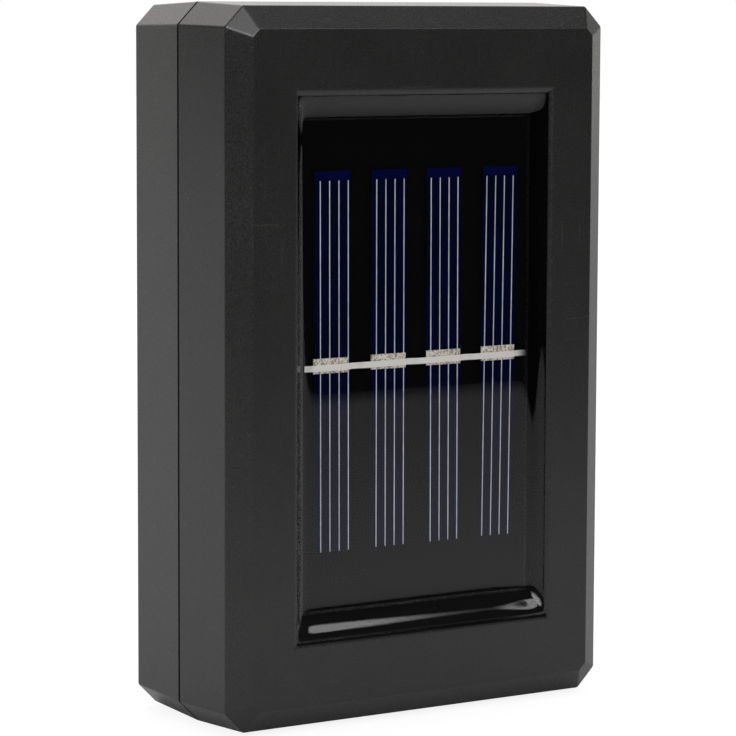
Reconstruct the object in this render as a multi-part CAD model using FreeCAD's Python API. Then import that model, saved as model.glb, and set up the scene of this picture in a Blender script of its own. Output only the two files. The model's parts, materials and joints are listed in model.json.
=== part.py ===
"""Solar fence light: a closed moulded box with a solar panel in its front and a light window at each end.

Millimetres. +X is right and +Z is up as one faces the light, which looks towards -Y. The origin is the middle
of the back face, where the light lies against the fence. One STEP file per piece goes into parts/.
"""

import FreeCAD, Part
import math
import os

V = FreeCAD.Vector

# --- Casing: two half shells that meet at the parting line -------------------------------------------------
WIDTH = 70.0
HEIGHT = 110.0
DEPTH = 30.0
REAR_DEPTH = 14.45          # back face to parting line
CORNER_CUT = 3.45           # leg of the 45 degree corner at the parting line
CORNER_ROUND = 0.6          # rounding of the upright and corner edges
EDGE_ROUND = 0.3            # rounding of the edges that run round the casing
DRAFT = 0.52                # each half narrows by this on every side
REAR_BEVEL = 0.9
FRONT_BEVEL_WIDE = 3.45
FRONT_BEVEL_DEEP = 2.4
WALL = 2.2
SHADOW_GAP = 0.45           # the thin line between the halves
SHADOW_DEPTH = 0.5
TONGUE_THICK = 0.8          # the rear half's rim, which enters the front half's rebate
TONGUE_LENGTH = 1.6
RIM_CLEARANCE = 0.1
SEAL_THICK = 0.8
LEAST_CORNER = 0.4
FIND_TOLERANCE = 0.001      # for picking edges by their place

# --- Recess in the front face ------------------------------------------------------------------------------
OPENING_WIDTH = 46.8
OPENING_HEIGHT = 83.5
LIP_WIDE_SIDE = 2.4
LIP_WIDE_END = 4.05
LIP_DEEP = 3.0
LIP_ROUND = 1.0             # rounding between the face and the lips
RECESS_DEEP = 5.2
TRAY_WALL = 1.8
TRAY_FLOOR = 1.6
RESIN_DOWN = 1.85           # front face to the level of the cast resin
RESIN_EDGE_DOWN = 0.56      # front face to the line where the resin ends on the lips
MENISCUS_STEEPEST = (0.9, 1.46)     # mouth to the resin's steepest line, at the sides and at the ends
MENISCUS_SPREAD = (0.51, 0.83)      # how slowly it flattens on either side of that line
MENISCUS_RINGS = 9

# --- Solar panel -------------------------------------------------------------------------------------------
PANEL_CLEARANCE = 0.3
PANEL_THICK = 1.2
CELL_COUNT = 4
CELL_WIDTH = 6.5
CELL_LENGTH = 58.0
CELL_THICK = 0.3
CELL_BED = 0.25             # resin between board and strip
CELL_PITCH = 10.2
CELL_RISE = 0.7             # the strips sit this far above the middle
CELL_TILTS = (-0.25, -0.15, -0.2, 0.5)  # degrees, as laid by hand
RIBBON_WIDE = 1.0
RIBBON_THICK = 0.12
RIBBON_Z = 0.2
RIBBON_UNDER = 3.0          # length of a link under its strip
RIBBON_STEP = 1.1           # length over which a ribbon climbs from the board to a strip's front
RIBBON_LEAD_IN = 0.3        # first ribbon's step to the first strip's edge
RIBBON_SHORT = 0.35         # a ribbon stops this far short of its strip's far edge
RIBBON_TAIL = 1.9           # length past the outer strips
PATCH_WIDE = 6.3
PATCH_HIGH = 2.3
PATCH_THICK = 0.2

# --- Light windows and lamps -------------------------------------------------------------------------------
WINDOW_WIDE = 24.0
WINDOW_DEEP = 7.0           # along the light's depth
WINDOW_SUNK = 0.7           # casing's end to the window's outer face
WINDOW_THICK = 3.2
WINDOW_FLANGE = 1.4
FLANGE_THICK = 1.3
WINDOW_BULGE = 1.2
WINDOW_CLEARANCE = 0.1
SEAT_RIM = 1.0              # width of the seat's rim round the window's flange
LAMP_BOARD_WIDE = 24.0
LAMP_BOARD_DEEP = 9.0
LAMP_BOARD_THICK = 1.0
LAMP_BOARD_DOWN = 8.6       # casing's end to the lamp board's outer face
SLOT_CLEARANCE = 0.05
GUIDE_WIDE = 3.0
GUIDE_WALL = 1.1
GUIDE_BITE = 1.6
LED_WIDE = 3.5
LED_DEEP = 2.8
LED_THICK = 0.7
LED_DOME = 1.15

# --- Battery, an AA-size rechargeable cell that lies across the casing -------------------------------------
BATTERY_RADIUS = 7.2
BATTERY_LENGTH = 50.5       # over the positive cap
BATTERY_Z = 8.0
SLEEVE_THICK = 0.2
CAP_RADIUS = 2.75
CAP_HIGH = 1.2
CAP_FLANGE_RADIUS = 4.5
CAP_FLANGE_THICK = 0.4
WASHER_RADIUS = 6.5
CAN_GROOVE = 0.6
CAN_GROOVE_FROM_END = 2.6
TAB_WIDE = 5.0
TAB_THICK = 0.2
TAB_PAST = 2.6              # a tab's free end stands this far in front of the battery
SADDLE_FLOOR = 0.8
SADDLE_THICK = 1.6
SADDLE_SHOULDER = 2.2
SADDLE_COUNT = 3
SADDLE_PITCH = 16.0
CRADLE_CLEARANCE = 0.15
STOP_THICK = 1.6
STOP_HIGH = 12.0
HOLD_RIB_X = 8.0
HOLD_RIB_HIGH = 10.0
HOLD_RIB_GRIP = 3.2

# --- Circuit board -----------------------------------------------------------------------------------------
CONTROL_WIDE = 36.0
CONTROL_HIGH = 24.0
CONTROL_THICK = 1.6
CONTROL_GAP = 8.8           # battery to the board's upper edge
POST_X = 14.5
POST_RADIUS = 2.8
POST_PILOT = 6.0
BOARD_SCREW_RADIUS = 1.0
BOARD_SCREW_LENGTH = 5.5
BOARD_SCREW_HEAD_RADIUS = 1.9
BOARD_SCREW_HEAD = 1.4
CHIP_LONG = 4.9
CHIP_WIDE = 3.9
CHIP_THICK = 1.4
CHIP_STANDOFF = 0.15
CHIP_LEG_COUNT = 4
CHIP_LEG_PITCH = 1.27
CHIP_LEG_WIDE = 0.42
CHIP_LEG_THICK = 0.2
CHIP_LEG_REACH = 1.05
CHIP_LEG_KNEE = 0.45        # a leg turns down at this share of its reach
CHOKE_RADIUS = 1.7
CHOKE_LENGTH = 7.0
CHOKE_WAIST_RADIUS = 1.45
CHOKE_TAPER = 0.5           # length of each slope on its barrel
CHOKE_BEAD = 1.1            # length of the thick band at each end
CHOKE_WIRE = 0.3
CAPACITOR_RADIUS = 2.5
CAPACITOR_HIGH = 5.0
CAPACITOR_BEAD = 0.25

# --- Push switch and its button, which is pressed from the back --------------------------------------------
BUTTON_RADIUS = 4.0
BUTTON_TRAVEL = 1.2
BUTTON_PROUD = 1.6          # above the well's floor
BUTTON_CROWN = 0.35
CROWN_STEPS = 6
BUTTON_FLANGE = 1.5
BUTTON_FLANGE_THICK = 1.0
BUTTON_CLEARANCE = 0.08
BUTTON_STOP_GAP = 0.05
WELL_RADIUS = 6.5
WELL_DEEP = 2.4
WELL_FLOOR = 1.8
WELL_WALL = 1.8
WELL_MOUTH = 0.5            # chamfer at the well's mouth
BUTTON_SEAL_WIRE = 0.42
SWITCH_SIZE = 8.4
SWITCH_CASE_HIGH = 5.2
SWITCH_ROOF = 0.8
SWITCH_BASE_THICK = 1.0
SWITCH_ROOM = 0.5           # pressed button to switch case
SWITCH_BORE = 3.2
PIN_RADIUS = 0.4
PIN_LENGTH = 2.6
PIN_INSET = 1.5
PIN_CLEARANCE = 0.15
STEM_RADIUS = 1.5
STEM_CLEARANCE = 0.08
STEM_SOCKET = 1.9           # how far the stem enters the button, past its flange's face
COLLAR_RADIUS = 2.8
COLLAR_THICK = 0.8
SPRING_RADIUS = 2.2
SPRING_WIRE = 0.22
SPRING_TURNS = 3
SPRING_CORNERS = 8          # bends of the wire in each turn

# --- Casing screws -----------------------------------------------------------------------------------------
SCREW_INSET = 7.7           # from the casing's sides and ends
SCREW_RADIUS = 1.3
SCREW_LENGTH = 14.0
SCREW_HEAD_RADIUS = 2.5
SCREW_HEAD = 1.8
SCREW_FIT = 0.02
SCREW_HOLE_CLEARANCE = 0.25
HEAD_POCKET_CLEARANCE = 0.3
HEAD_POCKET_DEEP = 5.0
BOSS_WALL = 1.5
GUSSET_THICK = 1.2
DRIVE_LONG = 3.0
DRIVE_WIDE = 0.6
DRIVE_DEEP = 0.9
HEAD_FLAT_SHARE = 0.7       # a screw head's flat top, as a share of its radius
HEAD_SIDE_SHARE = 0.6       # its upright side, as a share of its height
TIP_SHARE = 0.25            # a screw's blunt tip, as a share of its shank's radius

# --- Keyhole hanger in the back ----------------------------------------------------------------------------
KEY_ENTRY_RADIUS = 4.3
KEY_SLOT_RADIUS = 2.1
KEY_RUN = 7.5               # from the entry's centre up to where the screw hangs
KEY_DOWN = 18.5             # casing's end to where the screw hangs
KEY_POCKET_RADIUS = 4.9
KEY_POCKET_DEEP = 4.6
KEY_POCKET_WALL = 1.4

# --- Leads -------------------------------------------------------------------------------------------------
LEAD_RADIUS = 0.65
LEAD_HOLE_CLEARANCE = 0.3
LEAD_ROOM = 0.7             # battery to the leads that pass in front of it
PAD_ROW_IN = 2.4            # circuit board's upper or lower edge to its row of pads
OUTER_PAD_IN = 5.0          # circuit board's side edge to its outer pads
INNER_PAD_X = 7.9           # middle to the lamp leads' pads
PANEL_LEAD_X = 4.0          # middle to each panel lead
PANEL_LEAD_UP = 6.0         # circuit board's lower edge to the panel leads
PANEL_LEAD_SHIFT = 1.0      # sideways step of a panel lead on its way
LEAD_APART = 4.0            # middle to each lamp lead where the pair runs together
LEAD_TURN = 5.0             # length of a lead's run before or after its turn by the battery
LEAD_SWING = 9.0            # height over which a lamp lead swings towards the middle
LAMP_LEAD_DROP = 16.0       # lamp board to where its lead leaves the battery's front
LAMP_LEAD_END = 7.0         # straight run into the upper lamp board
EDGE_ROOM = 0.6             # circuit board's edge to a lead that passes it
ARC_SHARE = 0.45            # an arc takes this share of its shorter run

# --- Worked-out places -------------------------------------------------------------------------------------
PARTING_Y = -REAR_DEPTH
FRONT_Y = -DEPTH
INNER_BACK_Y = -WALL
INNER_FRONT_Y = FRONT_Y + WALL
HALF_HEIGHT = HEIGHT / 2
HALF_WIDTH = WIDTH / 2

LIP_Y = FRONT_Y + LIP_DEEP
TRAY_Y = FRONT_Y + RECESS_DEEP              # the tray floor's front
TRAY_BACK_Y = TRAY_Y + TRAY_FLOOR
RESIN_Y = FRONT_Y + RESIN_DOWN
WELL_HALF = (OPENING_WIDTH / 2 - LIP_WIDE_SIDE, OPENING_HEIGHT / 2 - LIP_WIDE_END)
PANEL_Y = TRAY_Y - PANEL_THICK              # the board's front
CELL_BACK_Y = PANEL_Y - CELL_BED
CELL_FRONT_Y = CELL_BACK_Y - CELL_THICK

BATTERY_Y = INNER_BACK_Y - SADDLE_FLOOR - CRADLE_CLEARANCE - BATTERY_RADIUS
BATTERY_END = BATTERY_LENGTH / 2
BATTERY_BODY_END = BATTERY_END - CAP_HIGH
CRADLE_RADIUS = BATTERY_RADIUS + CRADLE_CLEARANCE
LEAD_Y = BATTERY_Y - BATTERY_RADIUS - LEAD_ROOM - LEAD_RADIUS

WELL_FLOOR_Y = -WELL_DEEP
BUTTON_STOP_Y = WELL_FLOOR_Y - WELL_FLOOR
FLANGE_Y = BUTTON_STOP_Y - BUTTON_STOP_GAP
BUTTON_END_Y = FLANGE_Y - BUTTON_FLANGE_THICK
SWITCH_Y = BUTTON_END_Y - BUTTON_TRAVEL - SWITCH_ROOM
SWITCH_BASE_Y = SWITCH_Y - SWITCH_CASE_HIGH
CONTROL_BACK_Y = SWITCH_BASE_Y - SWITCH_BASE_THICK
CONTROL_FRONT_Y = CONTROL_BACK_Y - CONTROL_THICK
CONTROL_Z = BATTERY_Z - BATTERY_RADIUS - CONTROL_GAP - CONTROL_HIGH / 2
BUTTON_Z = CONTROL_Z

KEY_HANG_Z = HALF_HEIGHT - KEY_DOWN
KEY_ENTRY_Z = KEY_HANG_Z - KEY_RUN
SCREW_X = HALF_WIDTH - SCREW_INSET
SCREW_Z = HALF_HEIGHT - SCREW_INSET
SCREW_SEAT_Y = -HEAD_POCKET_DEEP
SCREW_PLACES = [(sx * SCREW_X, sz * SCREW_Z) for sx in (-1, 1) for sz in (-1, 1)]

WINDOW_Y = (PARTING_Y + INNER_BACK_Y) / 2
WINDOW_FACE_Z = HALF_HEIGHT - WINDOW_SUNK
WINDOW_INNER_Z = WINDOW_FACE_Z - WINDOW_THICK
LAMP_BOARD_Z = HALF_HEIGHT - LAMP_BOARD_DOWN


# --- Shared shapes -----------------------------------------------------------------------------------------
def box(x0, x1, y0, y1, z0, z1):
    """A box between two limits on each axis."""
    return Part.makeBox(x1 - x0, y1 - y0, z1 - z0, V(x0, y0, z0))


def rod(radius, start, end):
    """A cylinder from start to end."""
    axis = end - start
    return Part.makeCylinder(radius, axis.Length, start, axis)


def y_rod(radius, x, z, y0, y1):
    """A cylinder along Y."""
    return rod(radius, V(x, y0, z), V(x, y1, z))


def united(shapes):
    """All shapes as one solid with its coplanar faces joined."""
    return shapes[0].fuse(shapes[1:]).removeSplitter()


def corner_points(offset, y):
    """The casing's eight-cornered outline at depth y, moved inwards by offset."""
    half_x = HALF_WIDTH - offset
    half_z = HALF_HEIGHT - offset
    leg = max(CORNER_CUT - offset * (2 - math.sqrt(2)), LEAST_CORNER)
    quarter = [(half_x, half_z - leg), (half_x - leg, half_z)]
    upper = quarter + [(-x, z) for x, z in reversed(quarter)]
    around = upper + [(-x, -z) for x, z in upper]
    return [V(x, y, z) for x, z in around]


def rounded_wire(points, radius):
    """A closed outline through the points with each corner rounded by an arc."""
    edges = []
    count = len(points)
    arcs = []
    for i in range(count):
        before = (points[i - 1] - points[i]).normalize()
        after = (points[(i + 1) % count] - points[i]).normalize()
        half_turn = (math.pi - before.getAngle(after)) / 2
        tangent = radius * math.tan(half_turn)
        inward = (before + after).normalize()
        middle = points[i] + inward * (radius / math.cos(half_turn) - radius)
        arcs.append((points[i] + before * tangent, middle, points[i] + after * tangent))
    for i in range(count):
        start, middle, end = arcs[i]
        edges.append(Part.Arc(start, middle, end).toShape())
        edges.append(Part.makeLine(end, arcs[(i + 1) % count][0]))
    return Part.Wire(edges)


def faceted_solid(rings):
    """A solid with flat faces through rings of points, each ring as long as the last."""
    count = len(rings[0])
    faces = [Part.Face(Part.makePolygon(ring + [ring[0]])) for ring in (rings[0], rings[-1])]
    for first, second in zip(rings, rings[1:]):
        for i in range(count):
            j = (i + 1) % count
            faces.append(Part.Face(Part.makePolygon([first[i], first[j], second[j], second[i], first[i]])))
    solid = Part.makeSolid(Part.makeShell(faces))
    if solid.Volume < 0:
        solid.reverse()
    return solid


def rectangle(half_x, half_z, y):
    """The four corners of a centred rectangle at depth y."""
    return [V(half_x, y, half_z), V(-half_x, y, half_z), V(-half_x, y, -half_z), V(half_x, y, -half_z)]


def casing_solid(profile):
    """A solid of the casing's outline, through (offset, y) pairs, with rounded edges."""
    wires = [rounded_wire(corner_points(offset, y), CORNER_ROUND) for offset, y in profile]
    solid = Part.makeLoft(wires, True, True)
    ring_places = [y for offset, y in profile[1:]]
    ring = [e for e in solid.Edges if any(all(abs(v.Y - y) < FIND_TOLERANCE for v in e.Vertexes) for y in ring_places)]
    return solid.makeFillet(EDGE_ROUND, ring)


def hollow_solid(profile):
    """A solid of the casing's outline with sharp corners, for cutting hollows."""
    return faceted_solid([corner_points(offset, y) for offset, y in profile])


def rim_ring(outer_offset, inner_offset, y0, y1):
    """A ring that follows the casing's outline."""
    outer = hollow_solid([(outer_offset, y0), (outer_offset, y1)])
    inner = hollow_solid([(inner_offset, y0), (inner_offset, y1)])
    return outer.cut(inner)


def stadium(radius, z0, z1, y0, y1):
    """An upright slot shape, round at both ends, extruded along Y."""
    middle = box(-radius, radius, min(y0, y1), max(y0, y1), z0, z1)
    return united([middle, y_rod(radius, 0, z0, y0, y1), y_rod(radius, 0, z1, y0, y1)])


def turned(points, centre, axis):
    """A revolved solid: points are (distance along the axis, radius) pairs."""
    side = V(0, 0, 1) if abs(axis.z) < 0.5 else V(1, 0, 0)
    path = [centre + axis * along + side * radius for along, radius in points]
    face = Part.Face(Part.makePolygon(path + [path[0]]))
    return face.revolve(centre, axis, 360)


def tube(points, radius):
    """A tube through the points: straight runs joined by tangent arcs as large as the runs allow."""
    edges = []
    start = points[0]
    for before, corner, after in zip(points, points[1:], points[2:]):
        back = before - corner
        on = after - corner
        reach = ARC_SHARE * min(back.Length, on.Length)
        half_turn = (math.pi - back.getAngle(on)) / 2
        arc_radius = reach / math.tan(half_turn)
        back.normalize()
        on.normalize()
        inward = (back + on).normalize()
        middle = corner + inward * (arc_radius / math.cos(half_turn) - arc_radius)
        edges.append(Part.makeLine(start, corner + back * reach))
        edges.append(Part.Arc(corner + back * reach, middle, corner + on * reach).toShape())
        start = corner + on * reach
    edges.append(Part.makeLine(start, points[-1]))
    circle = Part.Wire(Part.makeCircle(radius, points[0], points[1] - points[0]))
    return Part.Wire(edges).makePipeShell([circle], True, True)


def mirrored(shape):
    """The shape's twin at the casing's other end."""
    return shape.mirror(V(0, 0, 0), V(0, 0, 1))


# --- Casing ------------------------------------------------------------------------------------------------
def inner_front_profile():
    """The front half's hollow, one wall inside its side, bevel and face."""
    slope = math.hypot(FRONT_BEVEL_WIDE, FRONT_BEVEL_DEEP)
    side_share = (slope - FRONT_BEVEL_WIDE) / FRONT_BEVEL_DEEP
    face_share = (slope - FRONT_BEVEL_DEEP) / FRONT_BEVEL_WIDE
    side_y = FRONT_Y + FRONT_BEVEL_DEEP + WALL * side_share
    face_offset = DRAFT + FRONT_BEVEL_WIDE + WALL * face_share
    return [(WALL, PARTING_Y + WALL), (WALL, PARTING_Y), (WALL + DRAFT, side_y), (face_offset, INNER_FRONT_Y)]


def rim_rebate():
    """The step inside the front half's rim that takes the tongue and the seal."""
    outer_offset = WALL - TONGUE_THICK - RIM_CLEARANCE
    return rim_ring(outer_offset, WALL + DRAFT, PARTING_Y - TONGUE_LENGTH - SEAL_THICK, PARTING_Y)


def recess():
    """The space of the recess: sloping lips, then an upright well down to the tray floor."""
    mouth = rectangle(OPENING_WIDTH / 2, OPENING_HEIGHT / 2, FRONT_Y)
    throat = rectangle(WELL_HALF[0], WELL_HALF[1], LIP_Y)
    floor = rectangle(WELL_HALF[0], WELL_HALF[1], TRAY_Y)
    return faceted_solid([mouth, throat, floor])


def panel_lead_places():
    """Where the two panel leads pass through the tray floor, as (x, z)."""
    return [(side * PANEL_LEAD_X, CONTROL_Z - CONTROL_HIGH / 2 + PANEL_LEAD_UP) for side in (-1, 1)]


def front_boss(x, z):
    """A screw boss with its gussets, from the front wall to the parting line."""
    radius = SCREW_RADIUS + BOSS_WALL
    boss = y_rod(radius, x, z, INNER_FRONT_Y - WALL / 2, PARTING_Y)
    half = GUSSET_THICK / 2
    out_x = math.copysign(HALF_WIDTH - WALL, x)
    gusset_y = PARTING_Y - TONGUE_LENGTH - SEAL_THICK - WALL
    gusset = box(min(x, out_x), max(x, out_x), INNER_FRONT_Y, gusset_y, z - half, z + half)
    return boss.fuse(gusset)


def battery_bed(x):
    """The round space that a rib at x leaves for the battery."""
    return rod(CRADLE_RADIUS, V(x - SADDLE_THICK, BATTERY_Y, BATTERY_Z), V(x + SADDLE_THICK, BATTERY_Y, BATTERY_Z))


def hold_rib(x):
    """A rib behind the tray that keeps the battery in its saddles."""
    half = SADDLE_THICK / 2
    top_y = BATTERY_Y - CRADLE_RADIUS + HOLD_RIB_GRIP
    rib = box(x - half, x + half, TRAY_BACK_Y - TRAY_FLOOR / 2, top_y,
              BATTERY_Z - HOLD_RIB_HIGH / 2, BATTERY_Z + HOLD_RIB_HIGH / 2)
    return rib.cut(battery_bed(x))


def mouth_edges(shell):
    """The four edges between the face and the recess's lips."""
    half_x, half_z = OPENING_WIDTH / 2, OPENING_HEIGHT / 2
    found = []
    for edge in shell.Edges:
        middle = edge.CenterOfMass
        on_side = abs(abs(middle.x) - half_x) + abs(middle.z) < FIND_TOLERANCE
        on_end = abs(abs(middle.z) - half_z) + abs(middle.x) < FIND_TOLERANCE
        if abs(middle.y - FRONT_Y) < FIND_TOLERANCE and (on_side or on_end):
            found.append(edge)
    return found


def front_shell():
    """The front half: side, bevel, face, recess with its lips and tray, bosses and ribs."""
    profile = [(0, PARTING_Y), (DRAFT, FRONT_Y + FRONT_BEVEL_DEEP), (DRAFT + FRONT_BEVEL_WIDE, FRONT_Y)]
    shell = casing_solid(profile).cut(hollow_solid(inner_front_profile()))
    tray_x = WELL_HALF[0] + TRAY_WALL
    tray_z = WELL_HALF[1] + TRAY_WALL
    tray = box(-tray_x, tray_x, INNER_FRONT_Y - WALL / 2, TRAY_BACK_Y, -tray_z, tray_z)
    added = [tray]
    added += [front_boss(x, z) for x, z in SCREW_PLACES]
    added += [hold_rib(side * HOLD_RIB_X) for side in (-1, 1)]
    shell = united([shell] + added)
    removed = [recess(), rim_rebate()]
    removed.append(rim_ring(-SHADOW_DEPTH, SHADOW_DEPTH, PARTING_Y - SHADOW_GAP, PARTING_Y))
    pilot_end = SCREW_SEAT_Y - SCREW_LENGTH - SCREW_RADIUS
    removed += [y_rod(SCREW_RADIUS + SCREW_FIT, x, z, pilot_end, PARTING_Y) for x, z in SCREW_PLACES]
    hole = LEAD_RADIUS + LEAD_HOLE_CLEARANCE
    removed += [y_rod(hole, x, z, TRAY_Y, TRAY_BACK_Y) for x, z in panel_lead_places()]
    shell = shell.cut(removed)
    return shell.makeFillet(LIP_ROUND, mouth_edges(shell))


def window_seat():
    """The thick block inside the upper wall that the window is pushed into from within."""
    half_x = WINDOW_WIDE / 2 + WINDOW_FLANGE + WINDOW_CLEARANCE + SEAT_RIM
    front_y = WINDOW_Y - WINDOW_DEEP / 2 - WINDOW_FLANGE - WINDOW_CLEARANCE - SEAT_RIM
    return box(-half_x, half_x, front_y, INNER_BACK_Y + WALL / 2, WINDOW_INNER_Z, HALF_HEIGHT - WALL / 2)


def window_space(clearance):
    """The window's plug and flange, grown by the clearance."""
    half_x = WINDOW_WIDE / 2 + clearance
    half_y = WINDOW_DEEP / 2 + clearance
    flange_x = half_x + WINDOW_FLANGE
    flange_y = half_y + WINDOW_FLANGE
    flange_z = WINDOW_INNER_Z + FLANGE_THICK
    plug = box(-half_x, half_x, WINDOW_Y - half_y, WINDOW_Y + half_y, WINDOW_INNER_Z, WINDOW_FACE_Z)
    flange = box(-flange_x, flange_x, WINDOW_Y - flange_y, WINDOW_Y + flange_y, WINDOW_INNER_Z, flange_z)
    return plug, flange


def window_cut():
    """The opening for the upper window, right through the wall."""
    plug, flange = window_space(WINDOW_CLEARANCE)
    half_x = WINDOW_WIDE / 2 + WINDOW_CLEARANCE
    half_y = WINDOW_DEEP / 2 + WINDOW_CLEARANCE
    mouth = box(-half_x, half_x, WINDOW_Y - half_y, WINDOW_Y + half_y, WINDOW_FACE_Z, HALF_HEIGHT)
    return united([plug, flange, mouth])


def lamp_guide(side):
    """A block with a slot for one end of the upper lamp board."""
    inner_x = LAMP_BOARD_WIDE / 2 - GUIDE_BITE
    outer_x = inner_x + GUIDE_WIDE
    z0 = LAMP_BOARD_Z - LAMP_BOARD_THICK - SLOT_CLEARANCE
    z1 = LAMP_BOARD_Z + SLOT_CLEARANCE
    slot_x = LAMP_BOARD_WIDE / 2 + SLOT_CLEARANCE
    y0 = WINDOW_Y - LAMP_BOARD_DEEP / 2
    y1 = INNER_BACK_Y + WALL / 2
    x_a, x_b = sorted((side * inner_x, side * outer_x))
    s_a, s_b = sorted((side * inner_x, side * slot_x))
    block = box(x_a, x_b, y0, y1, z0 - GUIDE_WALL, z1 + GUIDE_WALL)
    return block.cut(box(s_a, s_b, y0, WINDOW_Y + LAMP_BOARD_DEEP / 2 + SLOT_CLEARANCE, z0, z1))


def rear_boss(x, z):
    """A screw boss with its gusset, from the back wall to the parting line."""
    radius = SCREW_HEAD_RADIUS + HEAD_POCKET_CLEARANCE + BOSS_WALL
    neck = SCREW_RADIUS + SCREW_HOLE_CLEARANCE + BOSS_WALL
    seat_end = SCREW_SEAT_Y - BOSS_WALL
    wide = y_rod(radius, x, z, INNER_BACK_Y + WALL / 2, seat_end)
    narrow = y_rod(neck, x, z, seat_end, PARTING_Y)
    half = GUSSET_THICK / 2
    out_x = math.copysign(HALF_WIDTH - WALL, x)
    gusset = box(min(x, out_x), max(x, out_x), PARTING_Y + TONGUE_LENGTH, INNER_BACK_Y, z - half, z + half)
    return wide.fuse([narrow, gusset])


def screw_hole(x, z):
    """The head's pocket and the clearance hole of one casing screw."""
    pocket = y_rod(SCREW_HEAD_RADIUS + HEAD_POCKET_CLEARANCE, x, z, SCREW_SEAT_Y, 0)
    return pocket.fuse(y_rod(SCREW_RADIUS + SCREW_HOLE_CLEARANCE, x, z, PARTING_Y, SCREW_SEAT_Y))


def saddle(x):
    """A rib with a round bed for the battery."""
    half = SADDLE_THICK / 2
    half_z = CRADLE_RADIUS + SADDLE_SHOULDER
    rib = box(x - half, x + half, BATTERY_Y, INNER_BACK_Y + WALL / 2, BATTERY_Z - half_z, BATTERY_Z + half_z)
    return rib.cut(battery_bed(x))


def end_stop(side):
    """A wall at one end of the battery."""
    near = BATTERY_END + TAB_THICK + CRADLE_CLEARANCE
    x0, x1 = sorted((side * near, side * (near + STOP_THICK)))
    half_z = STOP_HIGH / 2
    return box(x0, x1, BATTERY_Y, INNER_BACK_Y + WALL / 2, BATTERY_Z - half_z, BATTERY_Z + half_z)


def board_post(side):
    """A post that carries one side of the circuit board."""
    return y_rod(POST_RADIUS, side * POST_X, CONTROL_Z, CONTROL_BACK_Y, INNER_BACK_Y + WALL / 2)


def key_pocket():
    """The closed pocket behind the keyhole."""
    radius = KEY_POCKET_RADIUS + KEY_POCKET_WALL
    back_y = INNER_BACK_Y - KEY_POCKET_DEEP - KEY_POCKET_WALL
    return stadium(radius, KEY_ENTRY_Z, KEY_HANG_Z, back_y, INNER_BACK_Y + WALL / 2)


def keyhole():
    """The keyhole through the back wall and the room behind it."""
    entry = y_rod(KEY_ENTRY_RADIUS, 0, KEY_ENTRY_Z, INNER_BACK_Y, 0)
    slot = stadium(KEY_SLOT_RADIUS, KEY_ENTRY_Z, KEY_HANG_Z, INNER_BACK_Y, 0)
    room = stadium(KEY_POCKET_RADIUS, KEY_ENTRY_Z, KEY_HANG_Z, INNER_BACK_Y - KEY_POCKET_DEEP, INNER_BACK_Y)
    return united([entry, slot, room])


def button_well():
    """The space of the button's well, with its hole, seal groove and chamfered mouth."""
    bore = BUTTON_RADIUS + BUTTON_CLEARANCE
    groove_y = WELL_FLOOR_Y - WELL_FLOOR / 2
    groove = bore + 2 * BUTTON_SEAL_WIRE
    profile = [
        (0, 0),
        (0, WELL_RADIUS + WELL_MOUTH),
        (-WELL_MOUTH, WELL_RADIUS),
        (-WELL_DEEP, WELL_RADIUS),
        (-WELL_DEEP, bore),
        (groove_y + BUTTON_SEAL_WIRE, bore),
        (groove_y + BUTTON_SEAL_WIRE, groove),
        (groove_y - BUTTON_SEAL_WIRE, groove),
        (groove_y - BUTTON_SEAL_WIRE, bore),
        (BUTTON_STOP_Y, bore),
        (BUTTON_STOP_Y, 0),
    ]
    return turned(profile, V(0, 0, BUTTON_Z), V(0, 1, 0))


def rear_shell():
    """The rear half: side, bevel, back with its keyhole and button well, and all that carries the works."""
    profile = [(0, PARTING_Y), (DRAFT, -REAR_BEVEL), (DRAFT + REAR_BEVEL, 0)]
    shell = casing_solid(profile)
    hollow = hollow_solid([(WALL, PARTING_Y), (WALL + DRAFT, INNER_BACK_Y)])
    shell = shell.cut(hollow)
    tongue = rim_ring(WALL - TONGUE_THICK, WALL, PARTING_Y - TONGUE_LENGTH, PARTING_Y)
    added = [tongue, window_seat(), mirrored(window_seat()), key_pocket()]
    added.append(y_rod(WELL_RADIUS + WELL_WALL, 0, BUTTON_Z, BUTTON_STOP_Y, INNER_BACK_Y + WALL / 2))
    for side in (-1, 1):
        added += [lamp_guide(side), mirrored(lamp_guide(side)), end_stop(side), board_post(side)]
    added += [saddle((i - (SADDLE_COUNT - 1) / 2) * SADDLE_PITCH) for i in range(SADDLE_COUNT)]
    added += [rear_boss(x, z) for x, z in SCREW_PLACES]
    shell = united([shell] + added)
    removed = [keyhole(), button_well(), window_cut(), mirrored(window_cut())]
    removed += [screw_hole(x, z) for x, z in SCREW_PLACES]
    pilot = BOARD_SCREW_RADIUS + SCREW_FIT
    pilot_y = CONTROL_BACK_Y + POST_PILOT
    removed += [y_rod(pilot, side * POST_X, CONTROL_Z, CONTROL_BACK_Y, pilot_y) for side in (-1, 1)]
    return shell.cut(removed)


def rim_seal():
    """The flat seal between the tongue's end and the rebate's floor."""
    outer_offset = WALL - TONGUE_THICK - RIM_CLEARANCE / 2
    return rim_ring(outer_offset, WALL, PARTING_Y - TONGUE_LENGTH - SEAL_THICK, PARTING_Y - TONGUE_LENGTH)


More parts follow.
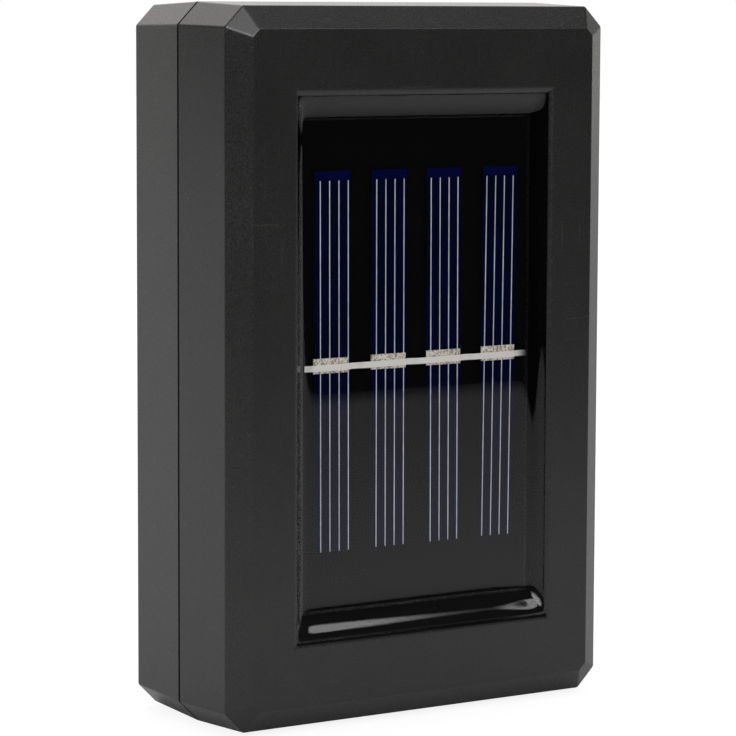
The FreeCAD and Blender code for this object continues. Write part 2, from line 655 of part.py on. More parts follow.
def pan_screw(x, z, seat_y, radius, length, head_radius, head):
    """A self-tapping screw with a cross drive, its head towards the back."""
    head_points = [(0, 0), (head, 0), (head, head_radius * HEAD_FLAT_SHARE), (head * HEAD_SIDE_SHARE, head_radius),
                   (0, head_radius)]
    shank_points = [(0, radius), (-length + radius, radius), (-length, radius * TIP_SHARE), (-length, 0)]
    shape = turned(head_points + shank_points, V(x, seat_y, z), V(0, 1, 0))
    top = seat_y + head
    long = DRIVE_LONG * head_radius / SCREW_HEAD_RADIUS / 2
    wide = DRIVE_WIDE / 2
    cross = [box(x - long, x + long, top - DRIVE_DEEP, top, z - wide, z + wide),
             box(x - wide, x + wide, top - DRIVE_DEEP, top, z - long, z + long)]
    return shape.cut(cross)


def case_screws():
    """The four screws that hold the halves together."""
    return Part.makeCompound([
        pan_screw(x, z, SCREW_SEAT_Y, SCREW_RADIUS, SCREW_LENGTH, SCREW_HEAD_RADIUS, SCREW_HEAD)
        for x, z in SCREW_PLACES])


# --- Solar panel -------------------------------------------------------------------------------------------
def cell_x(index):
    """The middle of a strip, counted from the left."""
    return (index - (CELL_COUNT - 1) / 2) * CELL_PITCH


def solar_board():
    """The panel's backing board."""
    half_x = WELL_HALF[0] - PANEL_CLEARANCE
    half_z = WELL_HALF[1] - PANEL_CLEARANCE
    return box(-half_x, half_x, PANEL_Y, TRAY_Y, -half_z, half_z)


def solar_cell(index):
    """One silicon strip, turned by its small tilt."""
    x = cell_x(index)
    half_x = CELL_WIDTH / 2
    half_z = CELL_LENGTH / 2
    strip = box(x - half_x, x + half_x, CELL_FRONT_Y, CELL_BACK_Y, CELL_RISE - half_z, CELL_RISE + half_z)
    tilt = CELL_TILTS[index % len(CELL_TILTS)]
    strip.rotate(V(x, CELL_BACK_Y, CELL_RISE), V(0, 1, 0), tilt)
    return strip


def ribbon(points):
    """A flat ribbon: points are (x, y) of its back face from left to right, and it is thickened forwards."""
    front = [(x, y - RIBBON_THICK) for x, y in reversed(points)]
    z0 = RIBBON_Z - RIBBON_WIDE / 2
    path = [V(x, y, z0) for x, y in points + front]
    return Part.Face(Part.makePolygon(path + [path[0]])).extrude(V(0, 0, RIBBON_WIDE))


def tab_ribbons():
    """Left tail, links from the back of each strip to the front of the next, and right tail."""
    half = CELL_WIDTH / 2
    over = half - RIBBON_SHORT
    first_edge = cell_x(0) - half
    step_end = first_edge - RIBBON_LEAD_IN
    ribbons = [ribbon([(first_edge - RIBBON_TAIL, PANEL_Y), (step_end - RIBBON_STEP, PANEL_Y),
                       (step_end, CELL_FRONT_Y), (cell_x(0) + over, CELL_FRONT_Y)])]
    for i in range(CELL_COUNT - 1):
        edge = cell_x(i) + half
        step_end = cell_x(i) + (CELL_PITCH + RIBBON_STEP) / 2
        ribbons.append(ribbon([(edge - RIBBON_UNDER, PANEL_Y), (step_end - RIBBON_STEP, PANEL_Y),
                               (step_end, CELL_FRONT_Y), (cell_x(i + 1) + over, CELL_FRONT_Y)]))
    edge = cell_x(CELL_COUNT - 1) + half
    ribbons.append(ribbon([(edge - RIBBON_UNDER, PANEL_Y), (edge + RIBBON_TAIL, PANEL_Y)]))
    return Part.makeCompound(ribbons)


def solder_patches():
    """A low mound of solder over the ribbon in the middle of each strip."""
    patches = []
    for i in range(CELL_COUNT):
        x = cell_x(i)
        patch = box(x - PATCH_WIDE / 2, x + PATCH_WIDE / 2, CELL_FRONT_Y - PATCH_THICK, CELL_FRONT_Y,
                    RIBBON_Z - PATCH_HIGH / 2, RIBBON_Z + PATCH_HIGH / 2)
        patches.append(patch.cut(tab_ribbons()))
    return Part.makeCompound(patches)


def lip_half(y):
    """Half the recess's width and height at depth y on the sloping lips."""
    share = (y - FRONT_Y) / LIP_DEEP
    return OPENING_WIDTH / 2 - LIP_WIDE_SIDE * share, OPENING_HEIGHT / 2 - LIP_WIDE_END * share


def meniscus_half(down):
    """Half the width and height of the resin's top at a distance down from the face, on its S-shaped slope."""
    steepness = math.log(down / (RESIN_DOWN - down))
    inward = [steepest + spread * steepness for steepest, spread in zip(MENISCUS_STEEPEST, MENISCUS_SPREAD)]
    return OPENING_WIDTH / 2 - inward[0], OPENING_HEIGHT / 2 - inward[1]


def resin_fill():
    """The clear resin round board, strips and ribbons, with an edge that climbs the lips."""
    edge_y = FRONT_Y + RESIN_EDGE_DOWN
    rings = [rectangle(WELL_HALF[0], WELL_HALF[1], TRAY_Y), rectangle(WELL_HALF[0], WELL_HALF[1], LIP_Y)]
    rings.append(rectangle(*lip_half(edge_y), edge_y))
    for i in range(1, MENISCUS_RINGS + 1):
        left = (RESIN_DOWN - RESIN_EDGE_DOWN) * (1 - i / (MENISCUS_RINGS + 1)) ** 2
        rings.append(rectangle(*meniscus_half(RESIN_DOWN - left), RESIN_Y - left))
    inside = [solar_board(), tab_ribbons(), solder_patches()] + [solar_cell(i) for i in range(CELL_COUNT)]
    return faceted_solid(rings).cut(inside)


# --- Windows and lamps -------------------------------------------------------------------------------------
def upper_window():
    """A clear window: plug, flange and an inner face that bulges towards the lamp."""
    plug, flange = window_space(0)
    half_y = WINDOW_DEEP / 2
    radius = (half_y ** 2 + WINDOW_BULGE ** 2) / (2 * WINDOW_BULGE)
    centre = V(-WINDOW_WIDE / 2, WINDOW_Y, WINDOW_INNER_Z - WINDOW_BULGE + radius)
    bulge = rod(radius, centre, centre + V(WINDOW_WIDE, 0, 0))
    below = box(-WINDOW_WIDE / 2, WINDOW_WIDE / 2, WINDOW_Y - half_y, WINDOW_Y + half_y,
                WINDOW_INNER_Z - WINDOW_BULGE, WINDOW_INNER_Z)
    return united([plug, flange, bulge.common(below)])


def upper_lamp_board():
    """The small board that carries a lamp."""
    half_x = LAMP_BOARD_WIDE / 2
    half_y = LAMP_BOARD_DEEP / 2
    inner_z = LAMP_BOARD_Z - LAMP_BOARD_THICK
    return box(-half_x, half_x, WINDOW_Y - half_y, WINDOW_Y + half_y, inner_z, LAMP_BOARD_Z)


def upper_led():
    """A light-emitting diode: a flat body with a low dome."""
    body = box(-LED_WIDE / 2, LED_WIDE / 2, WINDOW_Y - LED_DEEP / 2, WINDOW_Y + LED_DEEP / 2,
               LAMP_BOARD_Z, LAMP_BOARD_Z + LED_THICK)
    dome = Part.makeSphere(LED_DOME, V(0, WINDOW_Y, LAMP_BOARD_Z + LED_THICK))
    above = box(-LED_DOME, LED_DOME, WINDOW_Y - LED_DOME, WINDOW_Y + LED_DOME,
                LAMP_BOARD_Z + LED_THICK / 2, LAMP_BOARD_Z + LED_THICK + LED_DOME)
    return united([body, dome.common(above)])


# --- Battery -----------------------------------------------------------------------------------------------
def along_battery(points):
    """A turned piece on the battery's axis: points are (x, radius) pairs."""
    return turned(points, V(0, BATTERY_Y, BATTERY_Z), V(1, 0, 0))


def battery_can():
    """The steel can with its rolled groove near the positive end."""
    radius = BATTERY_RADIUS - SLEEVE_THICK
    groove_x = BATTERY_BODY_END - CAN_GROOVE_FROM_END
    return along_battery([
        (-BATTERY_END, 0), (-BATTERY_END, radius - CAN_GROOVE), (-BATTERY_END + CAN_GROOVE, radius),
        (groove_x - CAN_GROOVE, radius), (groove_x, radius - CAN_GROOVE), (groove_x + CAN_GROOVE, radius),
        (BATTERY_BODY_END, radius), (BATTERY_BODY_END, 0)])


def battery_sleeve():
    """The thin sleeve, turned over the can's shoulder at the positive end."""
    inner = BATTERY_RADIUS - SLEEVE_THICK
    lip_x = BATTERY_BODY_END + CAP_FLANGE_THICK
    return along_battery([
        (-BATTERY_END + CAN_GROOVE, inner), (-BATTERY_END + CAN_GROOVE, BATTERY_RADIUS),
        (lip_x + SLEEVE_THICK, BATTERY_RADIUS), (lip_x + SLEEVE_THICK, WASHER_RADIUS - CAN_GROOVE),
        (lip_x, WASHER_RADIUS - CAN_GROOVE), (lip_x, inner)])


def battery_washer():
    """The insulating washer round the positive cap's flange."""
    x1 = BATTERY_BODY_END + CAP_FLANGE_THICK
    return along_battery([(BATTERY_BODY_END, CAP_FLANGE_RADIUS), (BATTERY_BODY_END, WASHER_RADIUS),
                          (x1, WASHER_RADIUS), (x1, CAP_FLANGE_RADIUS)])


def battery_cap():
    """The positive cap with its flange."""
    flange_x = BATTERY_BODY_END + CAP_FLANGE_THICK
    ease = CAP_FLANGE_THICK / 2
    return along_battery([
        (BATTERY_BODY_END, 0), (BATTERY_BODY_END, CAP_FLANGE_RADIUS), (flange_x, CAP_FLANGE_RADIUS),
        (flange_x, CAP_RADIUS), (BATTERY_END - ease, CAP_RADIUS), (BATTERY_END, CAP_RADIUS - ease),
        (BATTERY_END, 0)])


def tab_end_y():
    """The free end of a battery tab."""
    return BATTERY_Y - BATTERY_RADIUS - TAB_PAST


def battery_tab(side):
    """A nickel tab welded across one end of the battery."""
    x0, x1 = sorted((side * BATTERY_END, side * (BATTERY_END + TAB_THICK)))
    half = TAB_WIDE / 2
    return box(x0, x1, tab_end_y(), BATTERY_Y + CAP_RADIUS, BATTERY_Z - half, BATTERY_Z + half)


# --- Circuit board -----------------------------------------------------------------------------------------
def pin_places():
    """The switch's four pins, as (x, z)."""
    reach = SWITCH_SIZE / 2 - PIN_INSET
    return [(sx * reach, BUTTON_Z + sz * reach) for sx in (-1, 1) for sz in (-1, 1)]


def control_board():
    """The circuit board with holes for its screws and the switch's pins."""
    board = box(-CONTROL_WIDE / 2, CONTROL_WIDE / 2, CONTROL_FRONT_Y, CONTROL_BACK_Y,
                CONTROL_Z - CONTROL_HIGH / 2, CONTROL_Z + CONTROL_HIGH / 2)
    screw_hole_radius = BOARD_SCREW_RADIUS + SCREW_HOLE_CLEARANCE
    pin_hole_radius = PIN_RADIUS + PIN_CLEARANCE
    places = [(side * POST_X, CONTROL_Z, screw_hole_radius) for side in (-1, 1)]
    places += [(x, z, pin_hole_radius) for x, z in pin_places()]
    return board.cut([y_rod(radius, x, z, CONTROL_FRONT_Y, CONTROL_BACK_Y) for x, z, radius in places])


def board_screws():
    """The two screws of the circuit board, driven from the front."""
    screws = []
    for side in (-1, 1):
        screw = pan_screw(side * POST_X, CONTROL_Z, 0, BOARD_SCREW_RADIUS, BOARD_SCREW_LENGTH,
                          BOARD_SCREW_HEAD_RADIUS, BOARD_SCREW_HEAD)
        screws.append(screw.mirror(V(0, 0, 0), V(0, 1, 0)).translated(V(0, CONTROL_FRONT_Y, 0)))
    return Part.makeCompound(screws)


def chip_centre():
    """The middle of the chip's underside on the board, as (x, z)."""
    return -CONTROL_WIDE / 4, CONTROL_Z + CONTROL_HIGH / 4


def driver_chip():
    """The charging and boost chip with a row of bent legs on each long side."""
    x, z = chip_centre()
    back_y = CONTROL_FRONT_Y - CHIP_STANDOFF
    half_x = CHIP_LONG / 2
    half_z = CHIP_WIDE / 2
    middle_y = back_y - CHIP_THICK / 2
    half_leg = CHIP_LEG_THICK / 2
    shapes = [box(x - half_x, x + half_x, back_y - CHIP_THICK, back_y, z - half_z, z + half_z)]
    for side in (-1, 1):
        for i in range(CHIP_LEG_COUNT):
            leg_x = x + (i - (CHIP_LEG_COUNT - 1) / 2) * CHIP_LEG_PITCH
            near, bend, far = [z + side * (half_z + CHIP_LEG_REACH * s) for s in (0, CHIP_LEG_KNEE, 1)]
            x0, x1 = leg_x - CHIP_LEG_WIDE / 2, leg_x + CHIP_LEG_WIDE / 2
            bend_low, bend_high = sorted((bend, bend - side * CHIP_LEG_THICK))
            near_low, near_high = sorted((near, bend))
            far_low, far_high = sorted((bend, far))
            shapes.append(box(x0, x1, middle_y - half_leg, middle_y + half_leg, near_low, near_high))
            shapes.append(box(x0, x1, middle_y - half_leg, CONTROL_FRONT_Y, bend_low, bend_high))
            shapes.append(box(x0, x1, CONTROL_FRONT_Y - CHIP_LEG_THICK, CONTROL_FRONT_Y, far_low, far_high))
    return united(shapes)


def choke():
    """The boost coil: a barrel body with one bent wire at each end."""
    x, z = CONTROL_WIDE / 4, CONTROL_Z + CONTROL_HIGH / 4
    y = CONTROL_FRONT_Y - CHOKE_RADIUS
    half = CHOKE_LENGTH / 2
    bead_out = half - CHOKE_TAPER
    bead_in = bead_out - CHOKE_BEAD
    left = [(-half, 0), (-half, CHOKE_WAIST_RADIUS), (-bead_out, CHOKE_RADIUS), (-bead_in, CHOKE_RADIUS),
            (CHOKE_TAPER - bead_in, CHOKE_WAIST_RADIUS)]
    right = [(-along, radius) for along, radius in reversed(left)]
    barrel = turned(left + right, V(x, y, z), V(1, 0, 0))
    wires = []
    for side in (-1, 1):
        end_x = x + side * (half + CHOKE_RADIUS / 2)
        wires.append(tube([V(x, y, z), V(end_x, y, z), V(end_x, CONTROL_FRONT_Y, z)], CHOKE_WIRE))
    return barrel.fuse(wires)


def capacitor():
    """The output capacitor: a can with a rolled bead, standing on the board."""
    x, z = CONTROL_WIDE / 4, CONTROL_Z - CONTROL_HIGH / 4
    radius = CAPACITOR_RADIUS
    bead = CAPACITOR_BEAD
    return turned([(0, 0), (0, radius), (-3 * bead, radius), (-4 * bead, radius - bead), (-5 * bead, radius),
                   (bead - CAPACITOR_HIGH, radius), (-CAPACITOR_HIGH, radius - bead), (-CAPACITOR_HIGH, 0)],
                  V(x, CONTROL_FRONT_Y, z), V(0, 1, 0))


# --- Push switch -------------------------------------------------------------------------------------------
def switch_base():
    """The switch's base with its four pins through the board."""
    half = SWITCH_SIZE / 2
    plate = box(-half, half, CONTROL_BACK_Y, SWITCH_BASE_Y, BUTTON_Z - half, BUTTON_Z + half)
    pins = [y_rod(PIN_RADIUS, x, z, CONTROL_BACK_Y - PIN_LENGTH, CONTROL_BACK_Y) for x, z in pin_places()]
    return united([plate] + pins)


def switch_case():
    """The switch's case: a square cup with a round chamber and a hole for the stem."""
    half = SWITCH_SIZE / 2
    case = box(-half, half, SWITCH_BASE_Y, SWITCH_Y, BUTTON_Z - half, BUTTON_Z + half)
    chamber = y_rod(SWITCH_BORE, 0, BUTTON_Z, SWITCH_BASE_Y, SWITCH_Y - SWITCH_ROOF)
    hole = y_rod(STEM_RADIUS + STEM_CLEARANCE, 0, BUTTON_Z, SWITCH_Y - SWITCH_ROOF, SWITCH_Y)
    return case.cut([chamber, hole])


def collar_back_y():
    """The collar's face under the switch's roof."""
    return SWITCH_Y - SWITCH_ROOF - BUTTON_STOP_GAP


def switch_plunger():
    """The stem with the collar that the spring pushes on."""
    start = collar_back_y()
    end = FLANGE_Y + STEM_SOCKET
    return turned([(0, 0), (0, COLLAR_RADIUS), (COLLAR_THICK, COLLAR_RADIUS), (COLLAR_THICK, STEM_RADIUS),
                   (end - start + COLLAR_THICK, STEM_RADIUS), (end - start + COLLAR_THICK, 0)],
                  V(0, start - COLLAR_THICK, BUTTON_Z), V(0, 1, 0))


def switch_spring():
    """The return spring between the base and the collar."""
    low_y = SWITCH_BASE_Y + SPRING_WIRE + BUTTON_STOP_GAP / 2
    high_y = collar_back_y() - COLLAR_THICK - SPRING_WIRE - BUTTON_STOP_GAP / 2
    corner_radius = SPRING_RADIUS / math.cos(math.pi / SPRING_CORNERS)
    count = SPRING_TURNS * SPRING_CORNERS
    points = []
    for i in range(count + 1):
        turn = 2 * math.pi * i / SPRING_CORNERS
        y = low_y + (high_y - low_y) * i / count
        points.append(V(corner_radius * math.cos(turn), y, BUTTON_Z + corner_radius * math.sin(turn)))
    return tube(points, SPRING_WIRE)


def button_cap():
    """The button: a crowned head, a flange behind the well's floor and a socket for the stem."""
    top = WELL_FLOOR_Y + BUTTON_PROUD
    rim = top - BUTTON_CROWN
    flange = BUTTON_RADIUS + BUTTON_FLANGE
    socket_end = FLANGE_Y + STEM_SOCKET
    flat = BUTTON_RADIUS - BUTTON_CROWN
    turns = [math.pi / 2 * i / CROWN_STEPS for i in range(CROWN_STEPS + 1)]
    crown = [(rim + BUTTON_CROWN * math.cos(turn), flat + BUTTON_CROWN * math.sin(turn)) for turn in turns]
    points = [(socket_end, 0), (top, 0)] + crown + [
        (FLANGE_Y, BUTTON_RADIUS), (FLANGE_Y, flange), (BUTTON_END_Y, flange),
        (BUTTON_END_Y, STEM_RADIUS), (socket_end, STEM_RADIUS)]
    return turned(points, V(0, 0, BUTTON_Z), V(0, 1, 0))


def button_seal():
    """The ring in the groove round the button."""
    gap = BUTTON_CLEARANCE / 2
    major = BUTTON_RADIUS + gap + BUTTON_SEAL_WIRE
    return Part.makeTorus(major, BUTTON_SEAL_WIRE, V(0, WELL_FLOOR_Y - WELL_FLOOR / 2, BUTTON_Z), V(0, 1, 0))


# --- Leads -------------------------------------------------------------------------------------------------
def panel_lead(side):
    """From the solar board, through the tray floor, to the circuit board."""
    index = 0 if side < 0 else 1
    x, z = panel_lead_places()[index]
    run = (CONTROL_FRONT_Y - TRAY_Y) / 3
    end_z = z + PANEL_LEAD_SHIFT
    points = [V(x, TRAY_Y, z), V(x, TRAY_Y + run, z)]
    points += [V(x, CONTROL_FRONT_Y - run, end_z), V(x, CONTROL_FRONT_Y, end_z)]
    return tube(points, LEAD_RADIUS)


def battery_lead(side):
    """From a battery tab, in front of the battery, to the circuit board."""
    x = side * BATTERY_END
    pad_x = side * (CONTROL_WIDE / 2 - OUTER_PAD_IN)
    pad_z = CONTROL_Z + CONTROL_HIGH / 2 - PAD_ROW_IN
    points = [V(x, LEAD_Y, BATTERY_Z), V(x - side * LEAD_TURN, LEAD_Y, BATTERY_Z)]
    points += [V(pad_x + side, LEAD_Y, pad_z + LEAD_TURN), V(pad_x, LEAD_Y, pad_z), V(pad_x, CONTROL_FRONT_Y, pad_z)]
    return tube(points, LEAD_RADIUS)


def lamp_lead_y():
    """The depth at which the leads meet the lamp boards, near each board's front edge."""
    return WINDOW_Y - LAMP_BOARD_DEEP / 2 + 2 * LEAD_RADIUS


def upper_lamp_lead(side):
    """From the circuit board, up in front of the battery, to the upper lamp board."""
    pad_x = side * INNER_PAD_X
    pad_z = CONTROL_Z + CONTROL_HIGH / 2 - PAD_ROW_IN
    near_x = side * LEAD_APART
    lamp_z = LAMP_BOARD_Z - LAMP_BOARD_THICK
    points = [V(pad_x, CONTROL_FRONT_Y, pad_z), V(pad_x, LEAD_Y, pad_z)]
    points += [V(near_x, LEAD_Y, pad_z + LEAD_SWING), V(near_x, LEAD_Y, lamp_z - LAMP_LEAD_DROP)]
    points += [V(near_x, lamp_lead_y(), lamp_z - LAMP_LEAD_END), V(near_x, lamp_lead_y(), lamp_z)]
    return tube(points, LEAD_RADIUS)


def lower_lamp_lead(side):
    """From the circuit board, round its lower edge, down to the lower lamp board."""
    pad_x = side * (CONTROL_WIDE / 2 - OUTER_PAD_IN)
    pad_z = CONTROL_Z - CONTROL_HIGH / 2 + PAD_ROW_IN
    edge_z = CONTROL_Z - CONTROL_HIGH / 2 - EDGE_ROOM - LEAD_RADIUS
    near_x = side * LEAD_APART
    lamp_z = -LAMP_BOARD_Z + LAMP_BOARD_THICK
    points = [V(pad_x, CONTROL_FRONT_Y, pad_z), V(pad_x, LEAD_Y, pad_z), V(near_x, LEAD_Y, edge_z),
              V(near_x, lamp_lead_y(), (edge_z + lamp_z) / 2), V(near_x, lamp_lead_y(), lamp_z)]
    return tube(points, LEAD_RADIUS)


# --- Assembly ----------------------------------------------------------------------------------------------
def pieces():
    """Every piece by its node name."""
    made = {
        "front_shell": front_shell(),
        "rear_shell": rear_shell(),
        "rim_seal": rim_seal(),
        "case_screws": case_screws(),
        "solar_board": solar_board(),
        "tab_ribbons": tab_ribbons(),
        "solder_patches": solder_patches(),
        "resin_fill": resin_fill(),
        "upper_window": upper_window(),
        "lower_window": mirrored(upper_window()),
        "upper_lamp_board": upper_lamp_board(),
        "lower_lamp_board": mirrored(upper_lamp_board()),
        "upper_led": upper_led(),
        "lower_led": mirrored(upper_led()),
        "battery_can": battery_can(),
        "battery_sleeve": battery_sleeve(),
        "battery_washer": battery_washer(),
        "battery_cap": battery_cap(),
        "control_board": control_board(),
        "board_screws": board_screws(),
        "driver_chip": driver_chip(),
        "choke": choke(),
        "capacitor": capacitor(),
        "switch_base": switch_base(),
        "switch_case": switch_case(),
        "switch_plunger": switch_plunger(),
        "switch_spring": switch_spring(),
        "button_cap": button_cap(),
        "button_seal": button_seal(),
    }
    for index in range(CELL_COUNT):
        made[f"solar_cell_{index + 1}"] = solar_cell(index)
    for side, sign in ((1, "plus"), (-1, "minus")):
        made[f"battery_tab_{sign}"] = battery_tab(side)
        made[f"panel_lead_{sign}"] = panel_lead(side)
        made[f"battery_lead_{sign}"] = battery_lead(side)
        made[f"upper_lamp_lead_{sign}"] = upper_lamp_lead(side)
        made[f"lower_lamp_lead_{sign}"] = lower_lamp_lead(side)
    return made


def main():
    """Write one STEP file per piece."""
    os.makedirs("parts", exist_ok=True)
    for node, shape in pieces().items():
        shape.exportStep(f"parts/{node}.step")


main()
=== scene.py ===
"""Looks of a small solar fence light, dressed over its fixed construction.

Sizes in the dataclasses are real millimetres, and everything is put into the scene in metres. +X is right and
+Z is up as one faces the light, which looks towards -Y. The pieces made here are the cast resin with its edge
that climbs the recess's lips, the silver lines printed on the silicon strips, the solder pads, the tinned
ribbons and the button's return spring; every other piece keeps its shape and gets a finish.
"""

import json
import logging
import math
from dataclasses import dataclass, field
from enum import Enum

import bpy
import numpy as np
from mathutils import Matrix, Vector


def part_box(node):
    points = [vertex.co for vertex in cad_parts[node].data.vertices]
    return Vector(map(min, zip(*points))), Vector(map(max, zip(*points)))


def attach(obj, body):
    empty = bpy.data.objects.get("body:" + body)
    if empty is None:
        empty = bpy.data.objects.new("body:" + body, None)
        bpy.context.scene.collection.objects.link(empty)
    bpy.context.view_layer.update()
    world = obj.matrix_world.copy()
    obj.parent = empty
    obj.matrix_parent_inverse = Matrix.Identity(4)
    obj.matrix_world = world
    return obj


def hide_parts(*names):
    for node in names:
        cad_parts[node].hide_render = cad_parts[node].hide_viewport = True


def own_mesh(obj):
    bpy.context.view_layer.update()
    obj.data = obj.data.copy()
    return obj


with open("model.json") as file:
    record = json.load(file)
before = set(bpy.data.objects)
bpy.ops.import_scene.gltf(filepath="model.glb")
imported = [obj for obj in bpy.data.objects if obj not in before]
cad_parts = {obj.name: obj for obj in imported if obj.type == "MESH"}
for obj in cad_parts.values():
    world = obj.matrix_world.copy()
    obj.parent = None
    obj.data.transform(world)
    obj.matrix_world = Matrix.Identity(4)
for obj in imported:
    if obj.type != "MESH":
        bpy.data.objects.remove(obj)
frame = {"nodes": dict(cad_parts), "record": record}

log = logging.getLogger("fence_light")
MM = 0.001
HOUSING = "housing"
LATTICE = 64        # random values on each side of the noise's lattice, which then repeats

Colour = tuple[float, float, float]
Socket = bpy.types.NodeSocket
Sockets = dict[str, Socket]
Source = Socket | float | tuple | list


class Slot(Enum):
    """The record's material slots."""

    CASING = "casing_black"
    RUBBER = "rubber_black"
    SCREW = "screw_steel"
    PANEL_BOARD = "panel_board"
    SILICON = "silicon"
    TINNED = "tinned_copper"
    SOLDER = "solder"
    RESIN = "resin_clear"
    WINDOW = "window_clear"
    LAMP_BOARD = "lamp_board"
    LED = "led"
    BATTERY_STEEL = "battery_steel"
    BATTERY_SLEEVE = "battery_sleeve"
    INSULATOR = "insulator"
    CIRCUIT_BOARD = "circuit_board"
    CHIP = "chip_black"
    CHOKE = "choke_body"
    CAPACITOR = "capacitor_can"
    SWITCH_BLACK = "switch_plastic"
    SWITCH_WHITE = "switch_white"
    SPRING = "spring_steel"
    LEAD_RED = "lead_red"
    LEAD_BLACK = "lead_black"


# --- Meshes from arrays ------------------------------------------------------------------------------------
def grid_quads(rows: int, columns: int) -> np.ndarray:
    """Faces of a grid of points stored row by row.

    Args:
        rows: Points along the first parameter.
        columns: Points along the second parameter.

    Returns:
        An array of four corner numbers per face, turned so that first x second parameter points outwards.
    """
    first = (np.arange(rows - 1)[:, None] * columns + np.arange(columns - 1)[None, :]).ravel()
    return np.stack([first, first + columns, first + columns + 1, first + 1], axis=1)


def border_loop(rows: int, columns: int) -> np.ndarray:
    """Point numbers once round the border of a grid, in the turning sense of its faces."""
    number = np.arange(rows * columns).reshape(rows, columns)
    return np.concatenate([number[:, 0], number[-1, 1:], number[-2::-1, -1], number[0, -2:0:-1]])


@dataclass
class Surfaces:
    """Collects closed surfaces, worked out as arrays of millimetres, into one mesh."""

    points: list[np.ndarray] = field(default_factory=list)
    faces: list[list[int]] = field(default_factory=list)
    count: int = 0

    def add(self, points: np.ndarray, faces: list[list[int]]) -> None:
        """Adds one closed surface.

        Args:
            points: Its points, one row each.
            faces: Its faces, by point numbers that start at 0.
        """
        self.points.append(points.reshape(-1, 3))
        self.faces += [[corner + self.count for corner in face] for face in faces]
        self.count += len(self.points[-1])

    def slab(self, front: np.ndarray, back: np.ndarray, rings: tuple[np.ndarray, ...] = ()) -> None:
        """Adds a closed slab between a front grid and a back grid of the same shape.

        The wall is a strip of faces from the front grid's border, through the rings, to the back grid's border.

        Args:
            front: Grid of shape (rows, columns, 3) that faces the viewer.
            back: Grid of the same shape behind it.
            rings: Loops of border points that the wall passes through, front first.
        """
        rows, columns = front.shape[:2]
        quads = grid_quads(rows, columns)
        loop = border_loop(rows, columns)
        size = rows * columns
        loops = [loop]
        start = size
        for ring in rings:
            loops.append(start + np.arange(len(ring)))
            start += len(ring)
        loops.append(start + loop)
        walls = []
        for upper, lower in zip(loops, loops[1:]):
            walls.append(np.stack([np.roll(upper, -1), upper, lower, np.roll(lower, -1)], axis=1))
        faces = np.concatenate([quads, *walls, quads[:, ::-1] + start])
        self.add(np.concatenate([front.reshape(-1, 3), *rings, back.reshape(-1, 3)]), faces.tolist())

    def sweep(self, sections: np.ndarray) -> None:
        """Adds a profile carried along a path, closed at both ends.

        Args:
            sections: Shape (stations, profile points, 3), the profile at each station in turn.
        """
        stations, around = sections.shape[:2]
        ring = np.arange(around)
        first = (np.arange(stations - 1)[:, None] * around + ring[None, :]).ravel()
        second = (np.arange(stations - 1)[:, None] * around + np.roll(ring, -1)[None, :]).ravel()
        quads = np.stack([first, first + around, second + around, second], axis=1)
        ends = [ring[::-1].tolist(), (ring + (stations - 1) * around).tolist()]
        self.add(sections, quads.tolist() + ends)

    def piece(self, name: str, finish: "Finish", replaced: tuple[str, ...] = ()) -> bpy.types.Object:
        """Makes the collected surfaces one object that rides on the housing.

        Args:
            name: The piece's name.
            finish: What it is dressed in.
            replaced: The nodes that it stands for.

        Returns:
            The new object.
        """
        mesh = bpy.data.meshes.new(name)
        mesh.from_pydata((np.concatenate(self.points) * MM).tolist(), [], self.faces)
        mesh.polygons.foreach_set("use_smooth", np.ones(len(self.faces), bool))
        mesh.update()
        made = bpy.data.objects.new(name, mesh)
        bpy.context.scene.collection.objects.link(made)
        mesh.materials.append(finish.make())
        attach(made, HOUSING)
        if replaced:
            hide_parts(*replaced)
        log.info("made %s, %d faces", name, len(self.faces))
        return made


def value_noise(across: np.ndarray, along: np.ndarray, cell: float, seed: int) -> np.ndarray:
    """Smooth noise from -1 to 1: random values on a square lattice, blended by the curve 3t^2 - 2t^3.

    Args:
        across: First coordinate of each point, in millimetres.
        along: Second coordinate of each point.
        cell: Lattice spacing in millimetres.
        seed: Start of the random draw.

    Returns:
        One value for each point.
    """
    lattice = np.random.default_rng(seed).uniform(-1, 1, (LATTICE, LATTICE))
    column, row = np.floor(across / cell).astype(int), np.floor(along / cell).astype(int)
    u, v = across / cell - column, along / cell - row
    u, v = u * u * (3 - 2 * u), v * v * (3 - 2 * v)
    corner = [[lattice[(column + i) % LATTICE, (row + j) % LATTICE] for j in (0, 1)] for i in (0, 1)]
    low = corner[0][0] * (1 - u) + corner[1][0] * u
    high = corner[0][1] * (1 - u) + corner[1][1] * u
    return low * (1 - v) + high * v


def smooth_step(low: float, high: float, value: np.ndarray) -> np.ndarray:
    """Rises from 0 at low to 1 at high along the curve 3t^2 - 2t^3."""
    t = np.clip((value - low) / (high - low), 0, 1)
    return t * t * (3 - 2 * t)


def tilted(points: np.ndarray, middle: tuple[float, float], degrees: float) -> np.ndarray:
    """Turns points about an upright line of sight through middle: x' = x cos + z sin, z' = z cos - x sin.

    Args:
        points: Array whose last axis is x, y, z.
        middle: The x and z that stay.
        degrees: The turn.

    Returns:
        The turned points.
    """
    turn = math.radians(degrees)
    x, z = points[..., 0] - middle[0], points[..., 2] - middle[1]
    across = middle[0] + x * math.cos(turn) + z * math.sin(turn)
    up = middle[1] + z * math.cos(turn) - x * math.sin(turn)
    return np.stack([across, points[..., 1], up], axis=-1)


